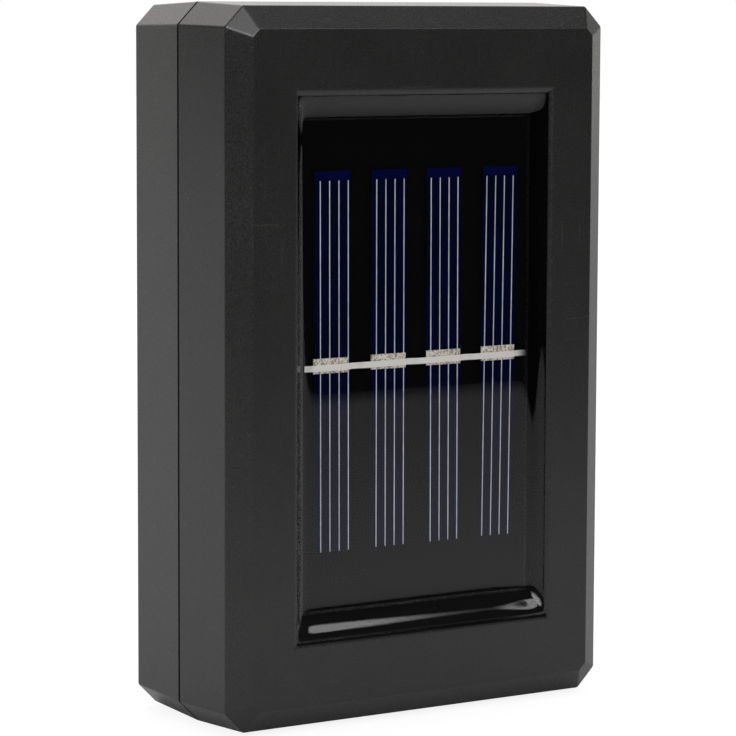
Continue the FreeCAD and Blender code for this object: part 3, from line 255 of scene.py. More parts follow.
# --- Shader trees ------------------------------------------------------------------------------------------
class Graph:
    """A node tree that is being wired, with one short call for each kind of node."""

    def __init__(self, tree: bpy.types.NodeTree) -> None:
        """Takes the tree to wire."""
        self.tree = tree

    def add(self, kind: str, **settings: object) -> bpy.types.Node:
        """Adds a node and sets its own settings.

        Args:
            kind: The kind of node.
            **settings: Its own settings by name.

        Returns:
            The new node.
        """
        node = self.tree.nodes.new(kind)
        for name, value in settings.items():
            setattr(node, name, value)
        return node

    def feed(self, socket: Socket, value: Source) -> None:
        """Links another socket to this one, or sets it to a constant.

        Args:
            socket: The input to fill.
            value: A socket to link, or a constant.
        """
        if isinstance(value, Socket):
            self.tree.links.new(value, socket)
        else:
            socket.default_value = value

    def math(self, operation: str, *values: Source, clamp: bool = False) -> Socket:
        """Works out one sum on numbers.

        Args:
            operation: The kind of sum.
            *values: What goes in, in order.
            clamp: Whether the result is kept between 0 and 1.

        Returns:
            The result.
        """
        node = self.add("ShaderNodeMath", operation=operation, use_clamp=clamp)
        for socket, value in zip(node.inputs, values):
            self.feed(socket, value)
        return node.outputs[0]

    def vector(self, operation: str, *values: Source) -> Socket:
        """Works out one sum on vectors, or the number that a dot product gives.

        Args:
            operation: The kind of sum.
            *values: What goes in, in order.

        Returns:
            The result.
        """
        node = self.add("ShaderNodeVectorMath", operation=operation)
        for socket, value in zip(node.inputs, values):
            self.feed(socket, value)
        return node.outputs["Value" if operation == "DOT_PRODUCT" else "Vector"]

    def scaled(self, where: Source, factors: tuple[float, float, float]) -> Socket:
        """Stretches coordinates by a factor on each axis."""
        return self.vector("MULTIPLY", where, factors)

    def split(self, where: Source) -> list[Socket]:
        """The three parts of a vector.

        Args:
            where: The vector.

        Returns:
            Its x, y and z.
        """
        node = self.add("ShaderNodeSeparateXYZ")
        self.feed(node.inputs[0], where)
        return list(node.outputs)

    def noise(self, where: Source, scale: Source, detail: float = 2.0) -> Socket:
        """Soft noise about 0.5; the scale is in bumps per metre.

        Args:
            where: Coordinates.
            scale: Bumps per metre.
            detail: How many finer layers lie over the first.

        Returns:
            A value about 0.5.
        """
        node = self.add("ShaderNodeTexNoise")
        self.feed(node.inputs["Vector"], where)
        self.feed(node.inputs["Scale"], scale)
        self.feed(node.inputs["Detail"], detail)
        return node.outputs[0]

    def cells(self, where: Source, scale: Source, feature: str = "F1") -> bpy.types.Node:
        """Cells round scattered points.

        Args:
            where: Coordinates.
            scale: Cells per metre.
            feature: What is measured in each cell.

        Returns:
            The node, for its outputs.
        """
        node = self.add("ShaderNodeTexVoronoi", feature=feature)
        self.feed(node.inputs["Vector"], where)
        self.feed(node.inputs["Scale"], scale)
        return node

    def ramp(self, value: Source, span: tuple[float, float], out: tuple[float, float] = (0.0, 1.0)) -> Socket:
        """Carries a value from one span to another along a smooth step.

        Args:
            value: The value.
            span: The span that it comes from.
            out: The span that it goes to.

        Returns:
            The carried value.
        """
        node = self.add("ShaderNodeMapRange", interpolation_type="SMOOTHSTEP")
        for name, number in zip(("Value", "From Min", "From Max", "To Min", "To Max"), (value, *span, *out)):
            self.feed(node.inputs[name], number)
        return node.outputs[0]

    def mix(self, share: Source, first: Source, second: Source) -> Socket:
        """Mixes two colours.

        Args:
            share: The second colour's share, from 0 to 1.
            first: The first colour.
            second: The second colour.

        Returns:
            The mixed colour.
        """
        node = self.add("ShaderNodeMix", data_type="RGBA")
        self.feed(node.inputs["Factor"], share)
        for name, value in (("A", first), ("B", second)):
            socket = [s for s in node.inputs if s.name == name and s.type == "RGBA"][0]
            self.feed(socket, (*value, 1.0) if isinstance(value, tuple) and len(value) == 3 else value)
        return [s for s in node.outputs if s.type == "RGBA"][0]

    def bump(self, height: Source, depth_mm: float, before: Source | None = None) -> Socket:
        """A normal that is bent by a height from 0 to 1 of this depth.

        Args:
            height: The height, from 0 to 1.
            depth_mm: What a height of 1 stands for, in millimetres.
            before: A normal that is bent already, if there is one.

        Returns:
            The bent normal.
        """
        node = self.add("ShaderNodeBump")
        node.inputs["Distance"].default_value = depth_mm * MM
        self.feed(node.inputs["Height"], height)
        if before is not None:
            self.feed(node.inputs["Normal"], before)
        return node.outputs["Normal"]


@dataclass(frozen=True)
class Effect:
    """A shader node group with named inputs and outputs, built once and shared by the finishes."""

    name: str
    inputs: tuple[tuple[str, str, float], ...]
    outputs: tuple[str, ...]

    def wire(self, graph: Graph, given: Sockets) -> Sockets:
        """Wires the inside of the group.

        Args:
            graph: The group's own tree.
            given: Its inputs by name.

        Returns:
            What it puts out, by name.
        """
        raise NotImplementedError

    def tree(self) -> bpy.types.NodeTree:
        """The group's tree, made at the first call.

        Returns:
            The tree.
        """
        found = bpy.data.node_groups.get(self.name)
        if found:
            return found
        tree = bpy.data.node_groups.new(self.name, "ShaderNodeTree")
        for name, kind, value in self.inputs:
            socket = tree.interface.new_socket(name, in_out="INPUT", socket_type=kind)
            if kind == "NodeSocketFloat":
                socket.default_value = value
        for name in self.outputs:
            tree.interface.new_socket(name, in_out="OUTPUT", socket_type="NodeSocketFloat")
        graph = Graph(tree)
        start, end = graph.add("NodeGroupInput"), graph.add("NodeGroupOutput")
        made = self.wire(graph, {socket.name: socket for socket in start.outputs if socket.name})
        for name, socket in made.items():
            graph.feed(end.inputs[name], socket)
        return tree

    def place(self, graph: Graph, where: Source, **values: float) -> Sockets:
        """Puts the group into a material.

        Args:
            graph: The material's tree.
            where: Coordinates that the effect follows.
            **values: Its other inputs by name, with _ for a space.

        Returns:
            Its outputs by name.
        """
        node = graph.add("ShaderNodeGroup", node_tree=self.tree())
        graph.feed(node.inputs["Vector"], where)
        for name, value in values.items():
            graph.feed(node.inputs[name.replace("_", " ")], value)
        return {socket.name: socket for socket in node.outputs}


class MouldedGrain(Effect):
    """Fine texture of a moulded or cast surface, and the broad unevenness of its tone."""

    GRAIN_SHARE = 0.7           # of the height; pits make the rest
    TONE_SPAN = (0.3, 0.7)
    SPECKLE_SPAN = (0.35, 0.65)

    def wire(self, graph: Graph, given: Sockets) -> Sockets:
        """Noise at the grain's scale mixed with pits, and broad noise at the tone's scale.

        Args:
            graph: The group's own tree.
            given: Its inputs by name.

        Returns:
            What it puts out, by name.
        """
        grain = graph.noise(given["Vector"], given["Grain Scale"], 3.0)
        tone = graph.noise(given["Vector"], given["Tone Scale"], 2.0)
        pits = graph.cells(given["Vector"], given["Grain Scale"]).outputs["Distance"]
        height = graph.math("ADD", graph.math("MULTIPLY", grain, self.GRAIN_SHARE),
                            graph.math("MULTIPLY", pits, 1 - self.GRAIN_SHARE))
        return {"Height": height, "Tone": graph.ramp(tone, self.TONE_SPAN),
                "Speckle": graph.ramp(grain, self.SPECKLE_SPAN)}


class HandlingMarks(Effect):
    """Hairline scratches and specks of dust from handling."""

    STRETCHES = ((1.0, 1.0, 0.06), (0.08, 1.0, 1.0))        # scratches along Z, and along X
    LINE_WIDE = 0.006
    PATCH_SCALE = 45.0
    PATCH_SPAN = (0.52, 0.68)
    DUST_SPAN = (0.78, 0.83)

    def wire(self, graph: Graph, given: Sockets) -> Sockets:
        """Long thin streaks where stretched noise crosses its middle value, and the highest tips of fine noise.

        Args:
            graph: The group's own tree.
            given: Its inputs by name.

        Returns:
            What it puts out, by name.
        """
        masks = []
        for stretch in self.STRETCHES:
            streak = graph.noise(graph.scaled(given["Vector"], stretch), given["Scratch Scale"], 1.0)
            line = graph.math("ABSOLUTE", graph.math("SUBTRACT", streak, 0.5))
            masks.append(graph.ramp(line, (0.0, self.LINE_WIDE), (1.0, 0.0)))
        patch = graph.ramp(graph.noise(given["Vector"], self.PATCH_SCALE, 1.0), self.PATCH_SPAN)
        scratches = graph.math("MULTIPLY", graph.math("MAXIMUM", *masks), patch)
        dust = graph.ramp(graph.noise(given["Vector"], given["Dust Scale"], 0.0), self.DUST_SPAN)
        return {"Scratches": scratches, "Dust": dust}


FLOAT = "NodeSocketFloat"
GRAIN = MouldedGrain("moulded_grain", (("Vector", "NodeSocketVector", 0.0), ("Grain Scale", FLOAT, 3000.0),
                                       ("Tone Scale", FLOAT, 60.0)), ("Height", "Tone", "Speckle"))
MARKS = HandlingMarks("handling_marks", (("Vector", "NodeSocketVector", 0.0), ("Scratch Scale", FLOAT, 900.0),
                                         ("Dust Scale", FLOAT, 1500.0)), ("Scratches", "Dust"))


# --- Finishes ----------------------------------------------------------------------------------------------
@dataclass(frozen=True)
class Finish:
    """A finish that one Principled shader gives, with grain, tone and marks from the shared effects.

    Sizes are millimetres. The shader's own numbers that are the same all over stay on its sockets.
    """

    name: str
    colour: Colour
    roughness: float
    tone_spread: float = 0.08
    rough_spread: float = 0.06
    grain_size: float = 0.25
    grain_depth: float = 0.004
    tone_size: float = 16.0
    metallic: float = 0.0
    ior: float = 1.5
    coat: float = 0.0
    marks: float = 0.0
    marks_colour: Colour = (0.5, 0.5, 0.48)

    def make(self) -> bpy.types.Material:
        """The material of this finish, made at the first call.

        Returns:
            The material.
        """
        found = bpy.data.materials.get(self.name)
        if found:
            return found
        material = bpy.data.materials.new(self.name)
        material.use_nodes = True
        material.node_tree.nodes.clear()
        graph = Graph(material.node_tree)
        shader = graph.add("ShaderNodeBsdfPrincipled")
        output = graph.add("ShaderNodeOutputMaterial")
        graph.feed(output.inputs["Surface"], shader.outputs[0])
        shader.inputs["Metallic"].default_value = self.metallic
        shader.inputs["IOR"].default_value = self.ior
        shader.inputs["Coat Weight"].default_value = self.coat
        where = graph.add("ShaderNodeTexCoord").outputs["Object"]
        grain = GRAIN.place(graph, where, Grain_Scale=1 / (self.grain_size * MM),
                            Tone_Scale=1 / (self.tone_size * MM))
        colour = self.tint(graph, where, grain)
        rough = self.gloss(graph, where, grain)
        if self.marks:
            worn = MARKS.place(graph, where)
            scuffed = graph.math("MULTIPLY", graph.math("MAXIMUM", worn["Scratches"], worn["Dust"]), self.marks)
            colour = graph.mix(scuffed, colour, self.marks_colour)
            rough = graph.math("ADD", rough, graph.math("MULTIPLY", worn["Scratches"], self.marks / 2), clamp=True)
        graph.feed(shader.inputs["Base Color"], colour)
        graph.feed(shader.inputs["Roughness"], rough)
        graph.feed(shader.inputs["Normal"], self.relief(graph, where, grain))
        self.finish(graph, shader, where)
        return material

    def shade(self, factor: float) -> Colour:
        """The colour, lighter or darker by a factor."""
        return tuple(min(1.0, part * factor) for part in self.colour)

    def tint(self, graph: Graph, where: Source, grain: Sockets) -> Socket:
        """Base colour: the tone wanders between a darker and a lighter shade."""
        return graph.mix(grain["Tone"], self.shade(1 - self.tone_spread), self.shade(1 + self.tone_spread))

    def gloss(self, graph: Graph, where: Source, grain: Sockets) -> Source:
        """Roughness: a little more on the grain's tips, or one number where it has no spread.

        Args:
            graph: The material's tree.
            where: Coordinates in the piece's own space.
            grain: The shared grain's outputs by name.

        Returns:
            The roughness.
        """
        if not self.rough_spread:
            return self.roughness
        return graph.ramp(grain["Speckle"], (0.0, 1.0),
                          (max(0.0, self.roughness - self.rough_spread), self.roughness + self.rough_spread))

    def relief(self, graph: Graph, where: Source, grain: Sockets) -> Socket:
        """Normal: the grain's height."""
        return graph.bump(grain["Height"], self.grain_depth)

    def finish(self, graph: Graph, shader: bpy.types.Node, where: Source) -> None:
        """Last touches of a kind of finish; the plain kind has none."""


@dataclass(frozen=True)
class CasingPlastic(Finish):
    """Black moulded plastic: fine matt texture outside, and lips in the recess that stay wet with resin."""

    lip_colour: Colour = (0.004, 0.004, 0.004)
    lip_roughness: float = 0.45
    mouth_half: tuple[float, float] = (23.3, 41.65)
    lip_y: tuple[float, float] = (-29.62, -29.45)
    throat_y: float = -26.9
    film_z: tuple[float, float] = (-42.2, -41.2)
    film_y: tuple[float, float] = (-29.99, -29.9)

    def in_recess(self, graph: Graph, where: Source) -> Socket:
        """1 on the recess's lips and on the film over the bottom lip's round edge, and 0 outside.

        Args:
            graph: The material's tree.
            where: Coordinates in the piece's own space.

        Returns:
            The mask.
        """
        x, y, z = graph.split(where)
        sides = graph.math("LESS_THAN", graph.math("ABSOLUTE", x), self.mouth_half[0] * MM)
        ends = graph.math("LESS_THAN", graph.math("ABSOLUTE", z), self.mouth_half[1] * MM)
        lips = graph.math("MULTIPLY", ends, graph.ramp(y, (self.lip_y[0] * MM, self.lip_y[1] * MM)))
        low = graph.math("MULTIPLY", graph.math("GREATER_THAN", z, self.film_z[0] * MM),
                         graph.math("LESS_THAN", z, self.film_z[1] * MM))
        film = graph.math("MULTIPLY", low, graph.ramp(y, (self.film_y[0] * MM, self.film_y[1] * MM)))
        front = graph.math("MULTIPLY", sides, graph.math("LESS_THAN", y, self.throat_y * MM))
        return graph.math("MULTIPLY", front, graph.math("MAXIMUM", lips, film))

    def tint(self, graph: Graph, where: Source, grain: Sockets) -> Socket:
        """The moulded tone, and the darker lips."""
        outside = super().tint(graph, where, grain)
        return graph.mix(self.in_recess(graph, where), outside, self.lip_colour)

    def gloss(self, graph: Graph, where: Source, grain: Sockets) -> Socket:
        """Matt outside and smooth on the lips.

        Args:
            graph: The material's tree.
            where: Coordinates in the piece's own space.
            grain: The shared grain's outputs by name.

        Returns:
            The roughness.
        """
        outside = super().gloss(graph, where, grain)
        inside = self.in_recess(graph, where)
        smooth = graph.math("MULTIPLY", inside, self.lip_roughness)
        return graph.math("ADD", graph.math("MULTIPLY", outside, graph.math("SUBTRACT", 1.0, inside)), smooth)

    def finish(self, graph: Graph, shader: bpy.types.Node, where: Source) -> None:
        """Resin wets the lips and takes their gloss away, as a black full Metallic does."""
        graph.feed(shader.inputs["Metallic"], self.in_recess(graph, where))


@dataclass(frozen=True)
class Silicon(Finish):
    """Blue polycrystalline silicon: sharp-edged crystals that differ a little in blue, with a gloss that varies with
    the fine grain.
    """

    crystal_size: float = 2.6
    bright: Colour = (0.003, 0.005, 0.04)
    crystals_seen: float = 0.3
    uneven_scale: float = 300.0
    bare: Colour = (0.001, 0.003, 0.045)
    bare_from: tuple[float, float] = (28.1, 28.7)

    def tint(self, graph: Graph, where: Source, grain: Sockets) -> Socket:
        """Each crystal has its own share of the brighter blue, and the end above the lines is bluer.

        Args:
            graph: The material's tree.
            where: Coordinates in the piece's own space.
            grain: The shared grain's outputs by name.

        Returns:
            The base colour.
        """
        uneven = graph.vector("ADD", where, graph.scaled(graph.noise(where, self.uneven_scale), (MM, MM, MM)))
        crystal = graph.cells(uneven, 1 / (self.crystal_size * MM)).outputs["Color"]
        share = graph.math("MULTIPLY", graph.split(crystal)[0], self.crystals_seen)
        crystals = graph.mix(share, super().tint(graph, where, grain), self.bright)
        end = graph.ramp(graph.split(where)[2], tuple(z * MM for z in self.bare_from))
        return graph.mix(end, crystals, self.bare)


@dataclass(frozen=True)
class Clear(Finish):
    """Clear cast resin or moulded window plastic."""

    ripple_depth: float = 0.0
    ripple_size: float = 9.0

    def tint(self, graph: Graph, where: Source, grain: Sockets) -> Socket:
        """Nearly clear, with a breath of colour that wanders."""
        return graph.mix(grain["Tone"], self.shade(1 - self.tone_spread), self.colour)

    def relief(self, graph: Graph, where: Source, grain: Sockets) -> Socket:
        """Slow ripples over the fine grain.

        Args:
            graph: The material's tree.
            where: Coordinates in the piece's own space.
            grain: The shared grain's outputs by name.

        Returns:
            The normal.
        """
        fine = super().relief(graph, where, grain)
        if not self.ripple_depth:
            return fine
        return graph.bump(graph.noise(where, 1 / (self.ripple_size * MM), 0.0), self.ripple_depth, fine)

    def finish(self, graph: Graph, shader: bpy.types.Node, where: Source) -> None:
        """Lets light through."""
        shader.inputs["Transmission Weight"].default_value = 1.0


@dataclass(frozen=True)
class CircuitBoard(Finish):
    """Printed board: lacquer over copper tracks that show as paler runs."""

    track_colour: Colour = (0.05, 0.22, 0.06)
    track_pitch: float = 2.54
    track_uneven: float = 0.55
    track_edges: tuple[float, float] = (0.07, 0.1)
    track_high: float = 0.03

    def tracks(self, graph: Graph, where: Source) -> Socket:
        """Runs along the cells' edges of a square lattice that is pulled about by noise.

        Args:
            graph: The material's tree.
            where: Coordinates in the piece's own space.

        Returns:
            1 on the tracks and 0 between them.
        """
        lattice = graph.cells(where, 1 / (self.track_pitch * MM), "DISTANCE_TO_EDGE")
        lattice.inputs["Randomness"].default_value = self.track_uneven
        return graph.ramp(lattice.outputs["Distance"], self.track_edges, (1.0, 0.0))

    def tint(self, graph: Graph, where: Source, grain: Sockets) -> Socket:
        """Lacquer, paler over the tracks."""
        return graph.mix(self.tracks(graph, where), super().tint(graph, where, grain), self.track_colour)

    def relief(self, graph: Graph, where: Source, grain: Sockets) -> Socket:
        """The tracks stand up a little."""
        return graph.bump(self.tracks(graph, where), self.track_high, super().relief(graph, where, grain))


@dataclass(frozen=True)
class Banded(Finish):
    """A lacquered body with plain rings of colour along X."""

    middle_x: float = 0.0
    ring_pitch: float = 1.1
    ring_wide: float = 0.45
    ring_colour: Colour = (0.25, 0.1, 0.02)

    def tint(self, graph: Graph, where: Source, grain: Sockets) -> Socket:
        """Rings at an even pitch over the middle of the body.

        Args:
            graph: The material's tree.
            where: Coordinates in the piece's own space.
            grain: The shared grain's outputs by name.

        Returns:
            The base colour.
        """
        x = graph.math("SUBTRACT", graph.split(where)[0], self.middle_x * MM)
        step = graph.math("PINGPONG", x, self.ring_pitch / 2 * MM)
        ring = graph.math("LESS_THAN", step, self.ring_wide / 2 * MM)
        near = graph.math("LESS_THAN", graph.math("ABSOLUTE", x), 2 * self.ring_pitch * MM)
        return graph.mix(graph.math("MULTIPLY", ring, near), super().tint(graph, where, grain), self.ring_colour)


@dataclass(frozen=True)
class Plated(Finish):
    """Bright plated or drawn metal, with fine lines along one axis."""

    line_stretch: tuple[float, float, float] = (1.0, 0.03, 1.0)

    def relief(self, graph: Graph, where: Source, grain: Sockets) -> Socket:
        """Drawn lines over the grain."""
        lines = graph.noise(graph.scaled(where, self.line_stretch), 1 / (self.grain_size * MM), 2.0)
        return graph.bump(lines, self.grain_depth, super().relief(graph, where, grain))


@dataclass(frozen=True)
class Tinned(Plated):
    """Tinned copper, with painted shade that darkens it towards the end of its right tail, by the recess's right
    wall.
    """

    # painted shade: the tail's colour darkens over this span of X, where the recess's right wall shades it
    tail_painted_shade_from: tuple[float, float] = (18.8, 21.0)
    tail_painted_shade: Colour = (0.08, 0.08, 0.07)

    def tint(self, graph: Graph, where: Source, grain: Sockets) -> Socket:
        """Bright tin, and the painted shade that darkens it along X."""
        # painted shade: share of the darker colour along X, standing in for the right wall's shade
        film = graph.ramp(graph.split(where)[0], tuple(x * MM for x in self.tail_painted_shade_from))
        return graph.mix(film, super().tint(graph, where, grain), self.tail_painted_shade)


@dataclass(frozen=True)
class Granular(Finish):
    """Solder that set rough: pale grains with darker, browner hollows between them."""

    hollow: Colour = (0.4, 0.31, 0.25)
    hollow_size: float = 0.34
    hollow_share: tuple[float, float] = (0.44, 0.62)

    def tint(self, graph: Graph, where: Source, grain: Sockets) -> Socket:
        """Hollows where noise is high."""
        seen = graph.ramp(graph.noise(where, 1 / (self.hollow_size * MM), 3.0), self.hollow_share)
        return graph.mix(seen, super().tint(graph, where, grain), self.hollow)


@dataclass(frozen=True)
class Glowing(Finish):
    """A diode: pale case with a yellow phosphor dot in the middle."""

    dot_colour: Colour = (0.85, 0.62, 0.08)
    dot_radius: float = 1.1
    middle_y: float = -8.325

    def tint(self, graph: Graph, where: Source, grain: Sockets) -> Socket:
        """The dot round the diode's axis, which runs along Z.

        Args:
            graph: The material's tree.
            where: Coordinates in the piece's own space.
            grain: The shared grain's outputs by name.

        Returns:
            The base colour.
        """
        x, y, _ = graph.split(where)
        y = graph.math("SUBTRACT", y, self.middle_y * MM)
        away = graph.math("SQRT", graph.math("ADD", graph.math("MULTIPLY", x, x), graph.math("MULTIPLY", y, y)))
        dot = graph.ramp(away, (0.9 * self.dot_radius * MM, self.dot_radius * MM), (1.0, 0.0))
        return graph.mix(dot, super().tint(graph, where, grain), self.dot_colour)


WETTED = 1.0        # IOR of what lies in the resin: its own gloss is gone

FINISHES: dict[Slot, Finish] = {
    Slot.CASING: CasingPlastic("casing black", (0.0135, 0.0135, 0.013), 0.27, marks=0.025, grain_size=0.2,
                               grain_depth=0.0025),
    Slot.RUBBER: Finish("rubber black", (0.012, 0.012, 0.012), 0.6, grain_size=0.12),
    Slot.SCREW: Plated("zinc steel", (0.55, 0.56, 0.58), 0.3, metallic=1.0, grain_depth=0.003, marks=0.3),
    Slot.PANEL_BOARD: Finish("panel board black", (0.003, 0.003, 0.003), 0.5, ior=WETTED),
    Slot.SILICON: Silicon("blue silicon", (0.0006, 0.0018, 0.018), 0.3, grain_depth=0.001, ior=WETTED),
    Slot.TINNED: Tinned("tinned ribbon", (0.97, 0.94, 0.9), 0.35, tone_spread=0.04, grain_depth=0.006,
                        line_stretch=(0.05, 1.0, 1.0), ior=WETTED),
    Slot.SOLDER: Granular("solder pad", (0.88, 0.84, 0.76), 0.5, tone_spread=0.1, grain_size=0.18, grain_depth=0.05,
                          tone_size=0.7, ior=WETTED),
    Slot.RESIN: Clear("cast resin", (1.0, 1.0, 1.0), 0.005, tone_spread=0.01, rough_spread=0.0, grain_depth=0.0,
                      ripple_depth=0.004),
    Slot.WINDOW: Clear("window plastic", (0.97, 0.97, 0.96), 0.18, tone_spread=0.02, rough_spread=0.04,
                       grain_depth=0.004, ior=1.49),
    Slot.LAMP_BOARD: CircuitBoard("lamp board white", (0.7, 0.7, 0.68), 0.35, track_colour=(0.82, 0.82, 0.8),
                                  track_pitch=3.5),
    Slot.LED: Glowing("diode", (0.8, 0.79, 0.75), 0.3),
    Slot.BATTERY_STEEL: Plated("nickel steel", (0.6, 0.58, 0.54), 0.28, metallic=1.0, line_stretch=(0.04, 1.0, 1.0)),
    Slot.BATTERY_SLEEVE: Finish("green sleeve", (0.02, 0.16, 0.05), 0.3, tone_spread=0.05, grain_depth=0.002,
                                coat=0.3),
    Slot.INSULATOR: Finish("white washer", (0.75, 0.73, 0.68), 0.7, grain_size=0.1),
    Slot.CIRCUIT_BOARD: CircuitBoard("green board", (0.015, 0.11, 0.03), 0.32),
    Slot.CHIP: Finish("chip black", (0.02, 0.02, 0.021), 0.45, grain_size=0.08),
    Slot.CHOKE: Banded("choke lacquer", (0.05, 0.3, 0.1), 0.3, middle_x=9.0),
    Slot.CAPACITOR: Finish("capacitor sleeve", (0.02, 0.03, 0.09), 0.35, coat=0.2),
    Slot.SWITCH_BLACK: Finish("switch black", (0.025, 0.025, 0.026), 0.4),
    Slot.SWITCH_WHITE: Finish("switch white", (0.72, 0.72, 0.7), 0.4),
    Slot.SPRING: Plated("spring steel", (0.5, 0.5, 0.5), 0.25, metallic=1.0),
    Slot.LEAD_RED: Finish("lead red", (0.45, 0.015, 0.012), 0.42, grain_size=0.4),
    Slot.LEAD_BLACK: Finish("lead black", (0.016, 0.016, 0.017), 0.42, grain_size=0.4),
}
SILVER_PRINT = Finish("silver print", (0.72, 0.74, 0.8), 0.45, grain_size=0.1, grain_depth=0.002, ior=WETTED)


# --- The recess and its panel ------------------------------------------------------------------------------
@dataclass
class CastResin:
    """The clear resin in the recess, whose edge climbs the lips in an S-shaped slope."""

    opening_half: tuple[float, float] = (23.4, 41.75)
    well_half: tuple[float, float] = (21.0, 37.7)
    lip_deep: float = 3.0
    level_down: float = 1.85
    edge_down: float = 0.56
    steepest: tuple[float, float] = (0.9, 1.46)
    spread: tuple[float, float] = (0.51, 0.83)
    low_edge_down: float = 0.3      # at the bottom the resin has run higher up its lip
    low_run: tuple[float, float] = (-36.0, -41.0)
    low_spread: float = 1.125
    low_spread_left: tuple[float, float, float] = (10.0, -24.0, 0.09)      # from x, to x, and how much less
    low_spread_right: tuple[float, float, float] = (13.0, 24.5, 0.3)
    grid: tuple[int, int] = (150, 230)
    crowding: float = 2.1
    sunk: float = 0.05          # how far its hidden faces lie inside lips, well and board

    def spaced(self, count: int) -> np.ndarray:
        """Places from -1 to 1 that crowd towards both ends: t' = tanh(c t) / tanh(c)."""
        return np.tanh(self.crowding * np.linspace(-1, 1, count)) / math.tanh(self.crowding)

    def climbed(self, inward: np.ndarray, steepest: np.ndarray | float, spread: np.ndarray | float,
                edge: np.ndarray | float) -> np.ndarray:
        """The share of its full climb that the resin has at a distance from the mouth.

        One wall alone gives the depth D = L / (1 + exp(-(d - s) / p)), where L is the level's depth, s the line
        where the slope is steepest and p the spread. The share is (L - D) / (L - E), with E the edge's depth.

        Args:
            inward: Distances from the mouth's edge.
            steepest: The distance s.
            spread: The spread p.
            edge: The depth E.

        Returns:
            1 at the resin's edge, falling to 0 far from it.
        """
        depth = self.level_down / (1 + np.exp(-(inward - steepest) / spread))
        return np.clip((self.level_down - depth) / (self.level_down - edge), 0, 1)

    def rim(self, axis: int, edge: np.ndarray | float) -> np.ndarray | float:
        """Half the resin's size where the sloping lip has a depth, and a little more to hide its wall."""
        return self.opening_half[axis] - (self.opening_half[axis] - self.well_half[axis]) * edge / self.lip_deep \
            + self.sunk

    def low_wall(self, x: np.ndarray, z: np.ndarray) -> np.ndarray:
        """The climb at the bottom, whose spread p changes along the lip; s = d + P ln(L / E - 1).

        P is the greatest spread and d the rim's distance from the mouth.

        Args:
            x: Places across the recess.
            z: Places up the recess.

        Returns:
            The share of the climb at each place.
        """
        spread = self.low_spread * np.ones_like(x)
        for start, end, less in (self.low_spread_left, self.low_spread_right):
            spread -= less * smooth_step(start, end, x)
        rim_inward = self.opening_half[1] - self.rim(1, self.low_edge_down) + self.sunk
        steepest = rim_inward + self.low_spread * math.log(self.level_down / self.low_edge_down - 1)
        return self.climbed(self.opening_half[1] + z, steepest, spread, self.low_edge_down)

    def build(self) -> bpy.types.Object:
        """Makes the resin: front surface, wall along lips and well, and back inside the board.

        The two walls' climbs a and b join in a corner as 1 - (1 - a)(1 - b), so the edge stays on the lips. The
        edge's depth runs from the sides' to the bottom's along a smooth step.

        Returns:
            The resin.
        """
        face_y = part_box("front_shell")[0].y / MM
        u, v = np.meshgrid(self.spaced(self.grid[0]), self.spaced(self.grid[1]), indexing="ij")
        z = np.where(v < 0, self.rim(1, self.low_edge_down), self.rim(1, self.edge_down)) * v
        edge = self.edge_down + (self.low_edge_down - self.edge_down) * smooth_step(*self.low_run, z)
        x = self.rim(0, edge) * u
        sides = self.climbed(self.opening_half[0] - np.abs(x), self.steepest[0], self.spread[0], edge)
        top = self.climbed(self.opening_half[1] - z, self.steepest[1], self.spread[1], self.edge_down)
        climb = 1 - (1 - sides) * (1 - top) * (1 - self.low_wall(x, z))
        depth = self.level_down - (self.level_down - edge) * climb
        front = np.stack([x, face_y + depth, z], axis=-1)
        well_x, well_z = ((well + self.sunk) * t for well, t in zip(self.well_half, (u, v)))
        board_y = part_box("solar_board")[0].y / MM
        back = np.stack([well_x, np.full_like(u, board_y + self.sunk), well_z], axis=-1)
        loop = border_loop(*self.grid)
        throat = np.stack([well_x, np.full_like(u, face_y + self.lip_deep), well_z], axis=-1).reshape(-1, 3)[loop]
        surfaces = Surfaces()
        surfaces.slab(front, back, (throat,))
        return surfaces.piece("resin_pour", FINISHES[Slot.RESIN], ("resin_fill",))


